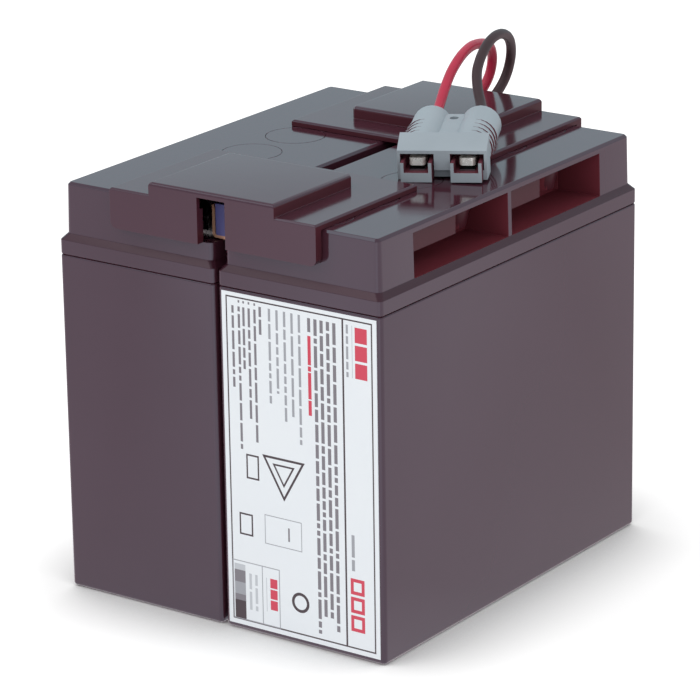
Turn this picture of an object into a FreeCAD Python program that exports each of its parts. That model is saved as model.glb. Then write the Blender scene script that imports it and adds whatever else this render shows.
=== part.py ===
import FreeCAD, Part
import math
import os
import re
import Sketcher
from FreeCAD import Placement, Rotation, Vector

# A replacement battery cartridge for an uninterruptible power supply.
# Two sealed lead-acid batteries stand side by side, long sides together, and the second one is
# the first one turned half round. A moulded cover bridges both lids at each end. Under the front
# cover a link joins the batteries in series. Under the back cover a red and a black lead are
# bolted on. They leave by the cover's notch, loop up and end in a grey two-pole connector.
# Millimetres. The origin is at the middle of the base. +Z is up, +Y runs along the batteries,
# away from the labelled end, and +X runs across the pair to the labelled battery.

doc = FreeCAD.newDocument("battery_cartridge")
sheet = doc.addObject("Spreadsheet::Sheet", "sizes")

SIZES = [
    # The battery, a standard size for twelve volts and about eighteen ampere hours
    ("battery_length", 181.0),
    ("battery_width", 75.2),
    ("case_height", 138.0),
    ("pair_gap", 1.6),
    ("case_wall", 2.6),
    ("case_floor", 3.0),
    ("case_corner", 2.0),
    ("foot_edge", 1.5),
    ("joint_edge", 0.6),
    ("cell_count", 6),
    ("partition", 1.8),
    # The lid: a skirt flush with the case, a flare and a drafted wall
    ("lid_height", 29.0),
    ("skirt_height", 6.1),
    ("flare_height", 2.5),
    ("wall_inset", 2.0),
    ("lid_draft", 1.4),
    ("lid_corner", 2.6),
    ("lid_edge", 1.0),
    ("lid_room_height", 4.5),
    # The hand recess in the lid's outer wall
    ("recess_length", 131.0),
    ("recess_depth", 20.0),
    ("recess_rim", 3.0),
    ("recess_rib", 2.5),
    ("lip_depth", 5.5),
    ("lip_height", 10.0),
    ("boss_radius", 8.5),
    ("boss_height", 12.0),
    ("boss_draft", 14.0),
    ("boss_standoff", 3.0),
    # The terminal pockets at the seam side of each lid
    ("pocket_width", 22.0),
    ("pocket_length", 26.0),
    ("pocket_depth", 13.5),
    # The safety valves, one to a cell
    ("disc_radius", 12.0),
    ("disc_height", 1.2),
    ("disc_gap", 0.2),
    ("well_radius", 8.5),
    ("well_depth", 8.8),
    ("neck_radius", 4.5),
    ("neck_height", 6.0),
    ("vent_radius", 1.5),
    ("cap_wall", 1.8),
    ("cap_roof", 1.6),
    # The plate packs inside the cells
    ("pack_gap", 0.4),
    ("pack_headroom", 17.0),
    ("strap_offset", 24.0),
    ("strap_width", 14.0),
    ("strap_height", 9.0),
    ("strap_inset", 1.2),
    ("weld_radius", 4.0),
    # The flag terminals and what is bolted to them
    ("tab_offset", 6.5),
    ("tab_thickness", 2.0),
    ("tab_width", 12.0),
    ("tab_height", 13.5),
    ("tab_setback", 7.5),
    ("tab_base", 3.0),
    ("tab_hole", 2.7),
    ("hole_height", 8.0),
    ("post_radius", 4.0),
    ("post_gap", 0.2),
    ("bolt_radius", 2.5),
    ("head_height", 2.4),
    ("nut_flats", 8.0),
    ("nut_height", 4.0),
    ("washer_radius", 5.0),
    ("washer_height", 1.0),
    ("thread_spare", 1.2),
    ("link_thickness", 1.2),
    ("link_bend", 1.8),
    ("link_lift", 0.6),
    ("spacer_width", 10.2),
    ("spacer_rise", 0.6),
    ("lug_slope", 25.0),
    ("lug_radius", 5.3),
    ("lug_reach", 9.5),
    ("lug_barrel", 2.8),
    # The end covers
    ("cover_width", 97.0),
    ("cover_depth", 66.5),
    ("cover_overhang", 2.0),
    ("plate_thickness", 2.6),
    ("plate_edge", 0.7),
    ("block_width", 59.0),
    ("block_depth", 51.5),
    ("block_height", 5.0),
    ("block_edge", 1.6),
    ("cover_wall", 2.0),
    ("apron_gap", 0.15),
    ("apron_corner", 3.0),
    ("apron_pocket", 1.8),
    ("notch_width", 13.0),
    ("notch_rise", 2.3),
    # The foam strips between the cases
    ("foam_length", 60.0),
    ("foam_height", 110.0),
    ("foam_spread", 50.0),
    # The front label
    ("label_thickness", 0.2),
    ("label_margin", 1.2),
    ("label_corner", 1.5),
    # The two-pole connector
    ("plug_length", 47.8),
    ("plug_height", 15.9),
    ("pole_offset", 9.7),
    ("barrel_length", 34.6),
    ("hood_width", 34.8),
    ("hood_height", 11.6),
    ("hood_wall", 1.3),
    ("jaw_reach", 3.6),
    ("jaw_width", 12.1),
    ("jaw_height", 3.8),
    ("rail_length", 9.0),
    ("rail_height", 4.0),
    ("mouth_width", 13.1),
    ("wire_bore", 4.2),
    ("web_height", 10.0),
    ("web_setback", 2.0),
    ("web_hole", 1.8),
    ("web_hole_setback", 7.0),
    ("grip_depth", 0.6),
    ("grip_width", 1.4),
    ("grip_pitch", 4.6),
    ("grip_count", 4),
    ("tongue_width", 6.2),
    ("tongue_thickness", 3.0),
    ("tongue_drop", 2.4),
    ("tongue_setback", 4.0),
    ("crimp_radius", 3.6),
    ("crimp_length", 13.0),
    ("crimp_setback", 9.6),
    ("spring_width", 6.0),
    ("spring_thickness", 0.6),
    ("spring_setback", 3.0),
    ("spring_gap", 2.0),
    # Where the connector lies: the middle of its lower front edge, and its turn from the camera
    ("plug_x", 50.7),
    ("plug_y", -12.7),
    ("plug_turn", 26.0),
    # The leads
    ("lead_radius", 2.1),
]

for row, (alias, size) in enumerate(SIZES, start=1):
    sheet.set("A%d" % row, alias)
    sheet.set("B%d" % row, str(size))
    sheet.setAlias("B%d" % row, alias)
doc.recompute()
ALIASES = {alias for alias, size in SIZES}


def bound(text):
    """Point every size that an expression names at its cell in the sheet."""
    return re.sub(r"[a-z_]+", lambda word: "sizes." + word[0] if word[0] in ALIASES else word[0], text)


def number(text):
    """The present value of an expression, for picking edges and for first guesses."""
    value = sheet.evalExpression(re.sub(r"sizes\.", "", bound(text)))
    return float(getattr(value, "Value", value))


def bind(obj, **expressions):
    """Tie properties to expressions. A double underscore stands for a dot."""
    for name, text in expressions.items():
        obj.setExpression(name.replace("__", "."), bound(text))


# Places that several pieces share, as expressions
LID_TOP = "(case_height + lid_height)"
LEDGE = "(case_height + skirt_height + flare_height)"
HALF_SPREAD = "((battery_width + pair_gap) / 2)"
CELL_ROOM = "((battery_length - 2 * case_wall - (cell_count - 1) * partition) / cell_count)"
CELL_PITCH = "(" + CELL_ROOM + " + partition)"
FIRST_CELL = "(-(cell_count - 1) / 2 * " + CELL_PITCH + ")"
WALL_FACE = "(battery_width / 2 - wall_inset)"
POCKET_FLOOR = "(" + LID_TOP + " - pocket_depth)"
TAB_X = "(tab_offset - " + HALF_SPREAD + ")"
TAB_Y = "(battery_length / 2 - tab_setback - tab_width / 2)"
HOLE_Z = "(" + POCKET_FLOOR + " + hole_height)"
POST_X = "(" + TAB_X + " + tab_width / 2)"
PACK_HEIGHT = "(case_height - case_floor - pack_headroom)"
STRAP_TOP = "(case_floor + " + PACK_HEIGHT + " + strap_height)"
COVER_FACE = "(battery_length / 2 + cover_overhang)"
BLOCK_TOP = "(" + LID_TOP + " + plate_thickness + block_height)"

# How many flat sides stand for a circle: a dozen where it is small or hidden inside, twice as
# many where it shows. True cylinders are kept for the bosses and the connector's screw hole.
HIDDEN_SIDES = 12
SHOWN_SIDES = 24

# A difference that counts as none when edges are picked, and the least volume of a real cut
SLACK = 0.02
LEAST_CUT = 0.01


# Small helpers for bodies, sketches and features

def new_body(label):
    body = doc.addObject("PartDesign::Body", label)
    body.Label = label
    body.AllowCompound = True
    return body


def origin_item(body, role):
    return next(item for item in body.Origin.OriginFeatures if item.Role == role)


def new_sketch(body, name, plane, at):
    """An empty sketch on one of the body's own planes, moved by three expressions."""
    sketch = body.newObject("Sketcher::SketchObject", name)
    sketch.AttachmentSupport = (origin_item(body, plane), [""])
    sketch.MapMode = "FlatFace"
    for axis, text in zip("xyz", at):
        bind(sketch, **{"AttachmentOffset__Base__" + axis: text})
    return sketch


def rectangle(body, name, plane, width, height, at=("0", "0", "0")):
    """A rectangle centred on the sketch's own origin."""
    sketch = new_sketch(body, name, plane, at)
    w, h = number(width) / 2, number(height) / 2
    corners = [Vector(-w, -h, 0), Vector(w, -h, 0), Vector(w, h, 0), Vector(-w, h, 0)]
    for i in range(4):
        sketch.addGeometry(Part.LineSegment(corners[i], corners[(i + 1) % 4]), False)
    for i in range(4):
        sketch.addConstraint(Sketcher.Constraint("Coincident", i, 2, (i + 1) % 4, 1))
    for i in (0, 2):
        sketch.addConstraint(Sketcher.Constraint("Horizontal", i))
        sketch.addConstraint(Sketcher.Constraint("Vertical", i + 1))
    sketch.addConstraint(Sketcher.Constraint("Symmetric", 0, 1, 2, 1, -1, 1))
    across = sketch.addConstraint(Sketcher.Constraint("DistanceX", 0, 1, 0, 2, 2 * w))
    along = sketch.addConstraint(Sketcher.Constraint("DistanceY", 1, 1, 1, 2, 2 * h))
    sketch.setExpression("Constraints[%d]" % across, bound(width))
    sketch.setExpression("Constraints[%d]" % along, bound(height))
    return sketch


def rounded_rectangle(body, name, plane, width, height, radius, at=("0", "0", "0")):
    """A rectangle with four equal round corners, centred on the sketch's own origin."""
    sketch = new_sketch(body, name, plane, at)
    w, h, r = number(width) / 2, number(height) / 2, number(radius)
    centres = [(w - r, r - h), (w - r, h - r), (r - w, h - r), (r - w, r - h)]
    for i, (x, y) in enumerate(centres):
        start = (i - 1) * math.pi / 2
        circle = Part.Circle(Vector(x, y, 0), Vector(0, 0, 1), r)
        sketch.addGeometry(Part.ArcOfCircle(circle, start, start + math.pi / 2), False)
    for i in range(4):
        a, b = centres[i], centres[(i + 1) % 4]
        side = Vector(math.cos(i * math.pi / 2), math.sin(i * math.pi / 2), 0) * r
        sketch.addGeometry(Part.LineSegment(Vector(*a, 0) + side, Vector(*b, 0) + side), False)
    for i in range(4):
        sketch.addConstraint(Sketcher.Constraint("Tangent", i, 2, 4 + i, 1))
        sketch.addConstraint(Sketcher.Constraint("Tangent", 4 + i, 2, (i + 1) % 4, 1))
    for i in (4, 6):
        sketch.addConstraint(Sketcher.Constraint("Vertical", i))
        sketch.addConstraint(Sketcher.Constraint("Horizontal", i + 1))
    for i in (1, 2, 3):
        sketch.addConstraint(Sketcher.Constraint("Equal", 0, i))
    sketch.addConstraint(Sketcher.Constraint("Symmetric", 0, 3, 2, 3, -1, 1))
    across = sketch.addConstraint(Sketcher.Constraint("DistanceX", 6, 1, 4, 1, 2 * w))
    along = sketch.addConstraint(Sketcher.Constraint("DistanceY", 7, 1, 5, 1, 2 * h))
    corner = sketch.addConstraint(Sketcher.Constraint("Radius", 0, r))
    sketch.setExpression("Constraints[%d]" % across, bound(width))
    sketch.setExpression("Constraints[%d]" % along, bound(height))
    sketch.setExpression("Constraints[%d]" % corner, bound(radius))
    return sketch


def ring_in(sketch, radius, guide):
    """A circle about the sketch's own origin, as a line of the outline or only as a guide."""
    ring = sketch.addGeometry(Part.Circle(Vector(0, 0, 0), Vector(0, 0, 1), number(radius)), guide)
    sketch.addConstraint(Sketcher.Constraint("Coincident", ring, 3, -1, 1))
    size = sketch.addConstraint(Sketcher.Constraint("Radius", ring, number(radius)))
    sketch.setExpression("Constraints[%d]" % size, bound(radius))
    return ring


def circle(body, name, plane, radius, at):
    """A circle centred on the sketch's own origin."""
    sketch = new_sketch(body, name, plane, at)
    ring_in(sketch, radius, False)
    return sketch


def polygon(body, name, plane, radius, at=("0", "0", "0"), sides=HIDDEN_SIDES):
    """A regular polygon whose corners lie on a circle of that radius."""
    sketch = new_sketch(body, name, plane, at)
    guide = ring_in(sketch, radius, True)
    corners = [Rotation(Vector(0, 0, 1), 360.0 * i / sides).multVec(Vector(number(radius), 0, 0))
               for i in range(sides)]
    first = guide + 1
    for i in range(sides):
        sketch.addGeometry(Part.LineSegment(corners[i], corners[(i + 1) % sides]), False)
    for i in range(sides):
        sketch.addConstraint(Sketcher.Constraint("Coincident", first + i, 2, first + (i + 1) % sides, 1))
        sketch.addConstraint(Sketcher.Constraint("PointOnObject", first + i, 1, guide))
    for i in range(1, sides):
        sketch.addConstraint(Sketcher.Constraint("Equal", first, first + i))
    sketch.addConstraint(Sketcher.Constraint("PointOnObject", first, 1, -1))
    return sketch


def sloping_block(body, name, start, length, front, rear):
    """A side outline on the YZ plane: a flat foot, two upright ends and a sloping top."""
    sketch = new_sketch(body, name, "YZ_Plane", ("0", "0", "0"))
    low, high = number(start), number("%s + %s" % (start, length))
    corners = [Vector(low, 0, 0), Vector(high, 0, 0), Vector(high, number(rear), 0), Vector(low, number(front), 0)]
    for i in range(4):
        sketch.addGeometry(Part.LineSegment(corners[i], corners[(i + 1) % 4]), False)
    for i in range(4):
        sketch.addConstraint(Sketcher.Constraint("Coincident", i, 2, (i + 1) % 4, 1))
    sketch.addConstraint(Sketcher.Constraint("PointOnObject", 0, 1, -1))
    sketch.addConstraint(Sketcher.Constraint("Horizontal", 0))
    sketch.addConstraint(Sketcher.Constraint("Vertical", 1))
    sketch.addConstraint(Sketcher.Constraint("Vertical", 3))
    for text, kind, *ends in ((start, "DistanceX", -1, 1, 0, 1), (length, "DistanceX", 0, 1, 0, 2),
                              (rear, "DistanceY", 1, 1, 1, 2), (front, "DistanceY", 0, 1, 2, 2)):
        size = sketch.addConstraint(Sketcher.Constraint(kind, *ends, number(text)))
        sketch.setExpression("Constraints[%d]" % size, bound(text))
    return sketch


def pad(body, name, sketch, length, draft=None, down=False, middle=False):
    feature = body.newObject("PartDesign::Pad", name)
    feature.Profile = sketch
    feature.Reversed = down
    feature.SideType = "Symmetric" if middle else "One side"
    bind(feature, Length=length)
    if draft:
        bind(feature, TaperAngle=draft)
    sketch.Visibility = False
    doc.recompute()
    return feature


def pocket(body, name, sketch, length, back=False, middle=False, draft=None):
    """A cut that must take something away."""
    before = body.Shape.Volume
    feature = body.newObject("PartDesign::Pocket", name)
    feature.Profile = sketch
    feature.Reversed = back
    feature.SideType = "Symmetric" if middle else "One side"
    bind(feature, Length=length)
    if draft:
        bind(feature, TaperAngle=draft)
    doc.recompute()
    if body.Shape.Volume > before - LEAST_CUT:
        raise RuntimeError("%s: %s cuts nothing" % (body.Label, name))
    return feature


def pattern(body, name, feature, role, span, count):
    """Repeat one feature along one of the body's own axes."""
    repeat = body.newObject("PartDesign::LinearPattern", name)
    repeat.Originals = feature if isinstance(feature, list) else [feature]
    repeat.Direction = (origin_item(body, role), [""])
    bind(repeat, Length=span, Occurrences=count)
    body.Tip = repeat
    doc.recompute()
    return repeat


def pick(body, test):
    """The names of the edges of the body so far whose middle and ends pass a test."""
    tip = body.Tip.Shape
    names = []
    for i, edge in enumerate(tip.Edges, start=1):
        box = edge.BoundBox
        if test(edge, box):
            names.append("Edge%d" % i)
    return names


def at_edges(body, name, kind, test, **size):
    """A fillet or chamfer on the edges that pass a test."""
    names = pick(body, test)
    if not names:
        raise RuntimeError("%s: %s finds no edge" % (body.Label, name))
    last = body.Tip
    feature = body.newObject(kind, name)
    feature.Base = (last, names)
    bind(feature, **size)
    doc.recompute()
    return feature


def rounding(body, name, radius, test):
    return at_edges(body, name, "PartDesign::Fillet", test, Radius=radius)


def bevel(body, name, width, test):
    return at_edges(body, name, "PartDesign::Chamfer", test, Size=width)


def near(a, b):
    return abs(a - b) < SLACK


def runs(length):
    """Whether an edge has any length along an axis."""
    return length > SLACK


def flat_at(level):
    """A test for edges that lie in one level plane."""
    return lambda edge, box: near(box.ZMin, level) and near(box.ZMax, level)


def stand(obj, x="0", y="0", z="0", turn=0):
    """Set a piece in its place by expressions, turned about the upright axis."""
    obj.Placement = Placement(Vector(number(x), number(y), number(z)), Rotation(Vector(0, 0, 1), turn))
    bind(obj, Placement__Base__x=x, Placement__Base__y=y, Placement__Base__z=z)


# The batteries. Each is drawn with its seam side towards -X and its hand recess towards +X.

def make_case(label):
    """An open box with a broken foot edge and five partitions, each with one hole for a weld."""
    body = new_body(label)
    outline = rounded_rectangle(body, "outline", "XY_Plane", "battery_width", "battery_length", "case_corner")
    pad(body, "block", outline, "case_height")
    bevel(body, "foot", "foot_edge", flat_at(0))
    bevel(body, "joint", "joint_edge", flat_at(number("case_height")))
    room = rectangle(body, "room", "XY_Plane", "battery_width - 2 * case_wall", CELL_ROOM,
                     ("0", FIRST_CELL, "case_height"))
    first = pocket(body, "cell_room", room, "case_height - case_floor")
    pattern(body, "cell_rooms", first, "Y_Axis", "(cell_count - 1) * " + CELL_PITCH, "cell_count")
    for i in range(int(number("cell_count")) - 1):
        side = "strap_offset" if i % 2 else "-strap_offset"
        wall_y = FIRST_CELL + " + %d * " % i + CELL_PITCH + " + " + CELL_PITCH + " / 2"
        hole = polygon(body, "weld_hole_sketch_%d" % i, "XZ_Plane", "weld_radius",
                       (side, STRAP_TOP + " - strap_height / 2", "-(" + wall_y + ")"))
        pocket(body, "weld_hole_%d" % i, hole, "2 * partition", middle=True)
    return body


def make_lid(label):
    """The moulded lid: skirt, flare, drafted wall, hand recess, terminal pockets and valve wells."""
    body = new_body(label)
    skirt = rounded_rectangle(body, "skirt_outline", "XY_Plane", "battery_width", "battery_length",
                              "case_corner", ("0", "0", "case_height"))
    pad(body, "skirt", skirt, "skirt_height")
    bevel(body, "joint", "joint_edge", flat_at(number("case_height")))
    shelf = rounded_rectangle(body, "shelf_outline", "XY_Plane", "battery_width", "battery_length",
                              "case_corner", ("0", "0", "case_height + skirt_height"))
    foot = rounded_rectangle(body, "wall_foot", "XY_Plane", "battery_width - 2 * wall_inset",
                             "battery_length - 2 * wall_inset", "lid_corner", ("0", "0", LEDGE))
    flare = body.newObject("PartDesign::AdditiveLoft", "flare")
    flare.Profile = shelf
    flare.Sections = [foot]
    flare.Ruled = True
    doc.recompute()
    base = rounded_rectangle(body, "wall_outline", "XY_Plane", "battery_width - 2 * wall_inset",
                             "battery_length - 2 * wall_inset", "lid_corner", ("0", "0", LEDGE))
    pad(body, "wall", base, LID_TOP + " - " + LEDGE, draft="-lid_draft")
    bevel(body, "top_edge", "lid_edge", flat_at(number(LID_TOP)))

    # Cell rooms under the lid, which carry on those of the case
    room = rectangle(body, "room", "XY_Plane", "battery_width - 2 * case_wall", CELL_ROOM,
                     ("0", FIRST_CELL, "case_height"))
    first = pocket(body, "lid_room", room, "lid_room_height", back=True)
    pattern(body, "lid_rooms", first, "Y_Axis", "(cell_count - 1) * " + CELL_PITCH, "cell_count")

    # The hand recess: two bays with a rib between them. In each bay the first cell's width has
    # a lip that hangs from the rim, and the rest is open to the full depth.
    rim = "(" + LID_TOP + " - recess_rim)"
    lip_foot = "(" + rim + " - lip_height)"
    lip_start = [("-recess_length / 2", "-" + CELL_PITCH, "-recess_rib / 2"),
                 ("recess_rib / 2", CELL_PITCH, "recess_length / 2")]
    for bay, (start, lip_end, end) in enumerate(lip_start):
        rooms = [("under_lip", start, end, LEDGE, lip_foot, "recess_depth"),
                 ("at_lip", start, lip_end, lip_foot, rim, "lip_depth"),
                 ("past_lip", lip_end, end, lip_foot, rim, "recess_depth")]
        for name, low, high, bottom, top, depth in rooms:
            window = rectangle(body, "%s_sketch_%d" % (name, bay), "YZ_Plane",
                               "(%s) - (%s)" % (high, low), "%s - %s" % (top, bottom),
                               ("((%s) + (%s)) / 2" % (high, low), "(%s + %s) / 2" % (top, bottom),
                                "battery_width / 2"))
            pocket(body, "%s_%d" % (name, bay), window, "wall_inset + " + depth)
        boss = circle(body, "boss_sketch_%d" % bay, "XY_Plane", "boss_radius",
                      (WALL_FACE + " - recess_depth + boss_standoff", "((%s) + (%s)) / 2" % (lip_end, end), rim))
        pad(body, "boss_%d" % bay, boss, "boss_height", draft="-boss_draft", down=True)

    # Terminal pockets at both ends, open to the seam, to the end and to the top
    for end, sign in (("front", "-"), ("back", "")):
        floor = rectangle(body, "pocket_sketch_" + end, "XY_Plane", "pocket_width + wall_inset",
                          "pocket_length + wall_inset",
                          ("-battery_width / 2 + (pocket_width + wall_inset) / 2",
                           sign + "(battery_length / 2 - (pocket_length + wall_inset) / 2)", LID_TOP))
        pocket(body, "pocket_" + end, floor, "pocket_depth")
        post = polygon(body, "post_sketch_" + end, "XY_Plane", "post_radius + post_gap",
                       (POST_X, sign + TAB_Y, POCKET_FLOOR))
        pocket(body, "post_hole_" + end, post, POCKET_FLOOR + " - case_height")

    # The valve wells, each with a neck that the rubber cap grips
    well_floor = LID_TOP + " - disc_height - well_depth"
    seat = polygon(body, "disc_seat_sketch", "XY_Plane", "disc_radius + disc_gap", ("0", FIRST_CELL, LID_TOP),
                   sides=SHOWN_SIDES)
    seat_cut = pocket(body, "disc_seat", seat, "disc_height")
    well = polygon(body, "well_sketch", "XY_Plane", "well_radius", ("0", FIRST_CELL, LID_TOP + " - disc_height"))
    well_cut = pocket(body, "well", well, "well_depth")
    neck = polygon(body, "neck_sketch", "XY_Plane", "neck_radius", ("0", FIRST_CELL, well_floor))
    neck_pad = pad(body, "neck", neck, "neck_height")
    vent = polygon(body, "vent_sketch", "XY_Plane", "vent_radius", ("0", FIRST_CELL, well_floor + " + neck_height"))
    vent_cut = pocket(body, "vent", vent, well_floor + " + neck_height - case_height")
    pattern(body, "valve_wells", [seat_cut, well_cut, neck_pad, vent_cut], "Y_Axis",
            "(cell_count - 1) * " + CELL_PITCH, "cell_count")
    return body


def make_valve_caps(label):
    """Six rubber caps, each a short cup turned upside down over its neck."""
    body = new_body(label)
    floor = LID_TOP + " - disc_height - well_depth"
    skin = polygon(body, "cap_outline", "XY_Plane", "neck_radius + cap_wall", ("0", FIRST_CELL, floor))
    cup = pad(body, "cap", skin, "neck_height + cap_roof")
    hole = polygon(body, "cap_bore_sketch", "XY_Plane", "neck_radius", ("0", FIRST_CELL, floor))
    bore = pocket(body, "cap_bore", hole, "neck_height", back=True)
    pattern(body, "caps", [cup, bore], "Y_Axis", "(cell_count - 1) * " + CELL_PITCH, "cell_count")
    return body


def make_valve_discs(label):
    """Six thin discs that close the valve wells flush with the lid."""
    body = new_body(label)
    outline = polygon(body, "disc_outline", "XY_Plane", "disc_radius",
                      ("0", FIRST_CELL, LID_TOP + " - disc_height"), sides=SHOWN_SIDES)
    disc = pad(body, "disc", outline, "disc_height")
    pattern(body, "discs", disc, "Y_Axis", "(cell_count - 1) * " + CELL_PITCH, "cell_count")
    return body


def make_plate_pack(label, index):
    """One cell's plates and separators, pressed together, with a cast strap on each side."""
    body = new_body(label)
    centre = FIRST_CELL + " + %d * " % index + CELL_PITCH
    block = rectangle(body, "pack_outline", "XY_Plane", "battery_width - 2 * case_wall - 2 * pack_gap",
                      CELL_ROOM + " - 2 * pack_gap", ("0", centre, "case_floor"))
    pad(body, "pack", block, PACK_HEIGHT)
    for name, side in (("left", "-strap_offset"), ("right", "strap_offset")):
        bar = rectangle(body, "strap_outline_" + name, "XY_Plane", "strap_width",
                        CELL_ROOM + " - 2 * strap_inset", (side, centre, "case_floor + " + PACK_HEIGHT))
        pad(body, "strap_" + name, bar, "strap_height")
    return body


def make_cell_welds(label):
    """Five short bars that join the straps of neighbouring cells through the partitions."""
    body = new_body(label)
    for i in range(int(number("cell_count")) - 1):
        side = "strap_offset" if i % 2 else "-strap_offset"
        wall_y = FIRST_CELL + " + %d * " % i + CELL_PITCH + " + " + CELL_PITCH + " / 2"
        bar = polygon(body, "weld_sketch_%d" % i, "XZ_Plane", "weld_radius",
                      (side, STRAP_TOP + " - strap_height / 2", "-(" + wall_y + ")"))
        pad(body, "weld_%d" % i, bar, "partition + 2 * strap_inset", middle=True)
    return body


def make_terminal(label, sign):
    """A flag terminal: an upright tab with a bolt hole, its foot and the post into the cell."""
    body = new_body(label)
    flag = rectangle(body, "tab_outline", "YZ_Plane", "tab_width", "tab_height",
                     (sign + TAB_Y, POCKET_FLOOR + " + tab_height / 2", TAB_X))
    pad(body, "tab", flag, "tab_thickness")
    foot = rectangle(body, "foot_outline", "XY_Plane", "tab_width", "tab_width",
                     (POST_X, sign + TAB_Y, POCKET_FLOOR))
    pad(body, "foot", foot, "tab_base")
    top = number(POCKET_FLOOR + " + tab_height")
    bevel(body, "tab_corners", "tab_thickness",
          lambda edge, box: near(box.ZMin, top) and near(box.ZMax, top) and not runs(box.YLength))
    post = polygon(body, "post_outline", "XY_Plane", "post_radius", (POST_X, sign + TAB_Y, POCKET_FLOOR))
    pad(body, "post", post, POCKET_FLOOR + " - " + STRAP_TOP, down=True)
    hole = polygon(body, "hole_outline", "YZ_Plane", "tab_hole", (sign + TAB_Y, HOLE_Z, TAB_X + " + tab_thickness"))
    pocket(body, "bolt_hole", hole, "tab_thickness")
    return body


nodes = []


def keep(body, x="0", y="0", z="0", turn=0):
    stand(body, x, y, z, turn)
    nodes.append(body)
    return body


for side, place, turn in (("right", HALF_SPREAD, 0), ("left", "-" + HALF_SPREAD, 180)):
    keep(make_case("case_" + side), place, turn=turn)
    keep(make_lid("lid_" + side), place, turn=turn)
    keep(make_valve_caps("valve_caps_" + side), place, turn=turn)
    keep(make_valve_discs("valve_discs_" + side), place, turn=turn)
    for cell in range(int(number("cell_count"))):
        keep(make_plate_pack("plate_pack_%s_%d" % (side, cell + 1), cell), place, turn=turn)
    keep(make_cell_welds("cell_welds_" + side), place, turn=turn)
    keep(make_terminal("terminal_positive_" + side, "-"), place, turn=turn)
    keep(make_terminal("terminal_negative_" + side, ""), place, turn=turn)


# The end covers. Each is drawn for the front end. The back one is turned half round.

def make_cover(label):
    """A plate over both lids, a hollow block over the terminals and an apron down the end."""
    body = new_body(label)
    middle_y = "-(" + COVER_FACE + " - cover_depth / 2)"
    plate = rectangle(body, "plate_outline", "XY_Plane", "cover_width", "cover_depth", ("0", middle_y, LID_TOP))
    pad(body, "plate", plate, "plate_thickness")
    apron_depth = "(cover_overhang + wall_inset - apron_gap)"
    apron = rectangle(body, "apron_outline", "XY_Plane", "cover_width", apron_depth,
                      ("0", "-(" + COVER_FACE + " - " + apron_depth + " / 2)", POCKET_FLOOR))
    pad(body, "apron", apron, "pocket_depth")
    block = rectangle(body, "block_outline", "XY_Plane", "block_width", "block_depth",
                      ("0", "-(" + COVER_FACE + " - block_depth / 2)", LID_TOP + " + plate_thickness"))
    pad(body, "block", block, "block_height")

    face = -number(COVER_FACE)
    plate_top = number(LID_TOP + " + plate_thickness")
    block_top = number(BLOCK_TOP)
    half_width = number("cover_width / 2")
    half_block = number("block_width / 2")
    rounding(body, "apron_corners", "apron_corner",
             lambda edge, box: near(box.ZMax, number(POCKET_FLOOR)) and near(abs(box.Center.x), half_width)
             and not runs(box.XLength))
    bevel(body, "block_corners", "block_edge",
          lambda edge, box: runs(box.ZLength) and near(abs(box.Center.x), half_block) and not near(box.YMin, face))
    rounding(body, "block_top_edge", "block_edge", flat_at(block_top))
    bevel(body, "plate_edges", "plate_edge",
          lambda edge, box: near(box.ZMin, plate_top) and near(box.ZMax, plate_top)
          and (near(abs(box.Center.x), half_width) or box.XLength > 2 * half_block + SLACK
               or (near(box.YMin, face) and near(box.YMax, face))))

    # The room for the terminals, the shallow rooms behind the apron and the notch
    inner_depth = "(block_depth - 2 * cover_wall)"
    room = rectangle(body, "terminal_room_sketch", "XY_Plane", "block_width - 2 * cover_wall", inner_depth,
                     ("0", "-(" + COVER_FACE + " - cover_wall - " + inner_depth + " / 2)", LID_TOP))
    pocket(body, "terminal_room", room, "plate_thickness + block_height - cover_wall", back=True)
    side_room = "(cover_width - block_width) / 2 - 1.5 * cover_wall"
    for name, sign in (("left", "-"), ("right", "")):
        hollow = rectangle(body, "apron_room_sketch_" + name, "XZ_Plane", side_room, "pocket_depth - 2 * cover_wall",
                           (sign + "(cover_width / 2 - cover_wall - (" + side_room + ") / 2)",
                            POCKET_FLOOR + " + pocket_depth / 2",
                            COVER_FACE + " - " + apron_depth + " + apron_pocket"))
        pocket(body, "apron_room_" + name, hollow, "apron_pocket")
    notch = rectangle(body, "notch_sketch", "XZ_Plane", "notch_width", "pocket_depth + plate_thickness + notch_rise",
                      ("0", POCKET_FLOOR + " + (pocket_depth + plate_thickness + notch_rise) / 2", COVER_FACE))
    pocket(body, "notch", notch, apron_depth + " + cover_wall")
    return body


keep(make_cover("cover_front"))
keep(make_cover("cover_back"), turn=180)


# The series link under the front cover, its spacer, and all the bolts, nuts and washers

def make_link(label):
    """A strip bent to a U that bridges the seam between the two front tabs."""
    body = new_body(label)
    foot = "(" + POCKET_FLOOR + " + link_lift)"
    tall = "(" + POCKET_FLOOR + " + tab_height - " + foot + ")"
    outer = rectangle(body, "link_outline", "XZ_Plane", "2 * tab_offset", tall,
                      ("0", foot + " + " + tall + " / 2", TAB_Y))
    pad(body, "strip", outer, "tab_width", middle=True)
    low = number(foot)
    rounding(body, "outer_bends", "link_bend",
             lambda edge, box: near(box.ZMin, low) and near(box.ZMax, low) and runs(box.YLength))
    inner = rectangle(body, "inner_outline", "XZ_Plane", "2 * (tab_offset - link_thickness)", tall,
                      ("0", foot + " + link_thickness + " + tall + " / 2", TAB_Y))
    pocket(body, "inside", inner, "tab_width", middle=True)
    inside = number(foot + " + link_thickness")
    rounding(body, "inner_bends", "link_bend - link_thickness",
             lambda edge, box: near(box.ZMin, inside) and near(box.ZMax, inside) and runs(box.YLength))
    hole = polygon(body, "hole_outline", "YZ_Plane", "tab_hole", ("-" + TAB_Y, HOLE_Z, "0"))
    pocket(body, "bolt_holes", hole, "2 * tab_offset", middle=True)
    return body


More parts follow.
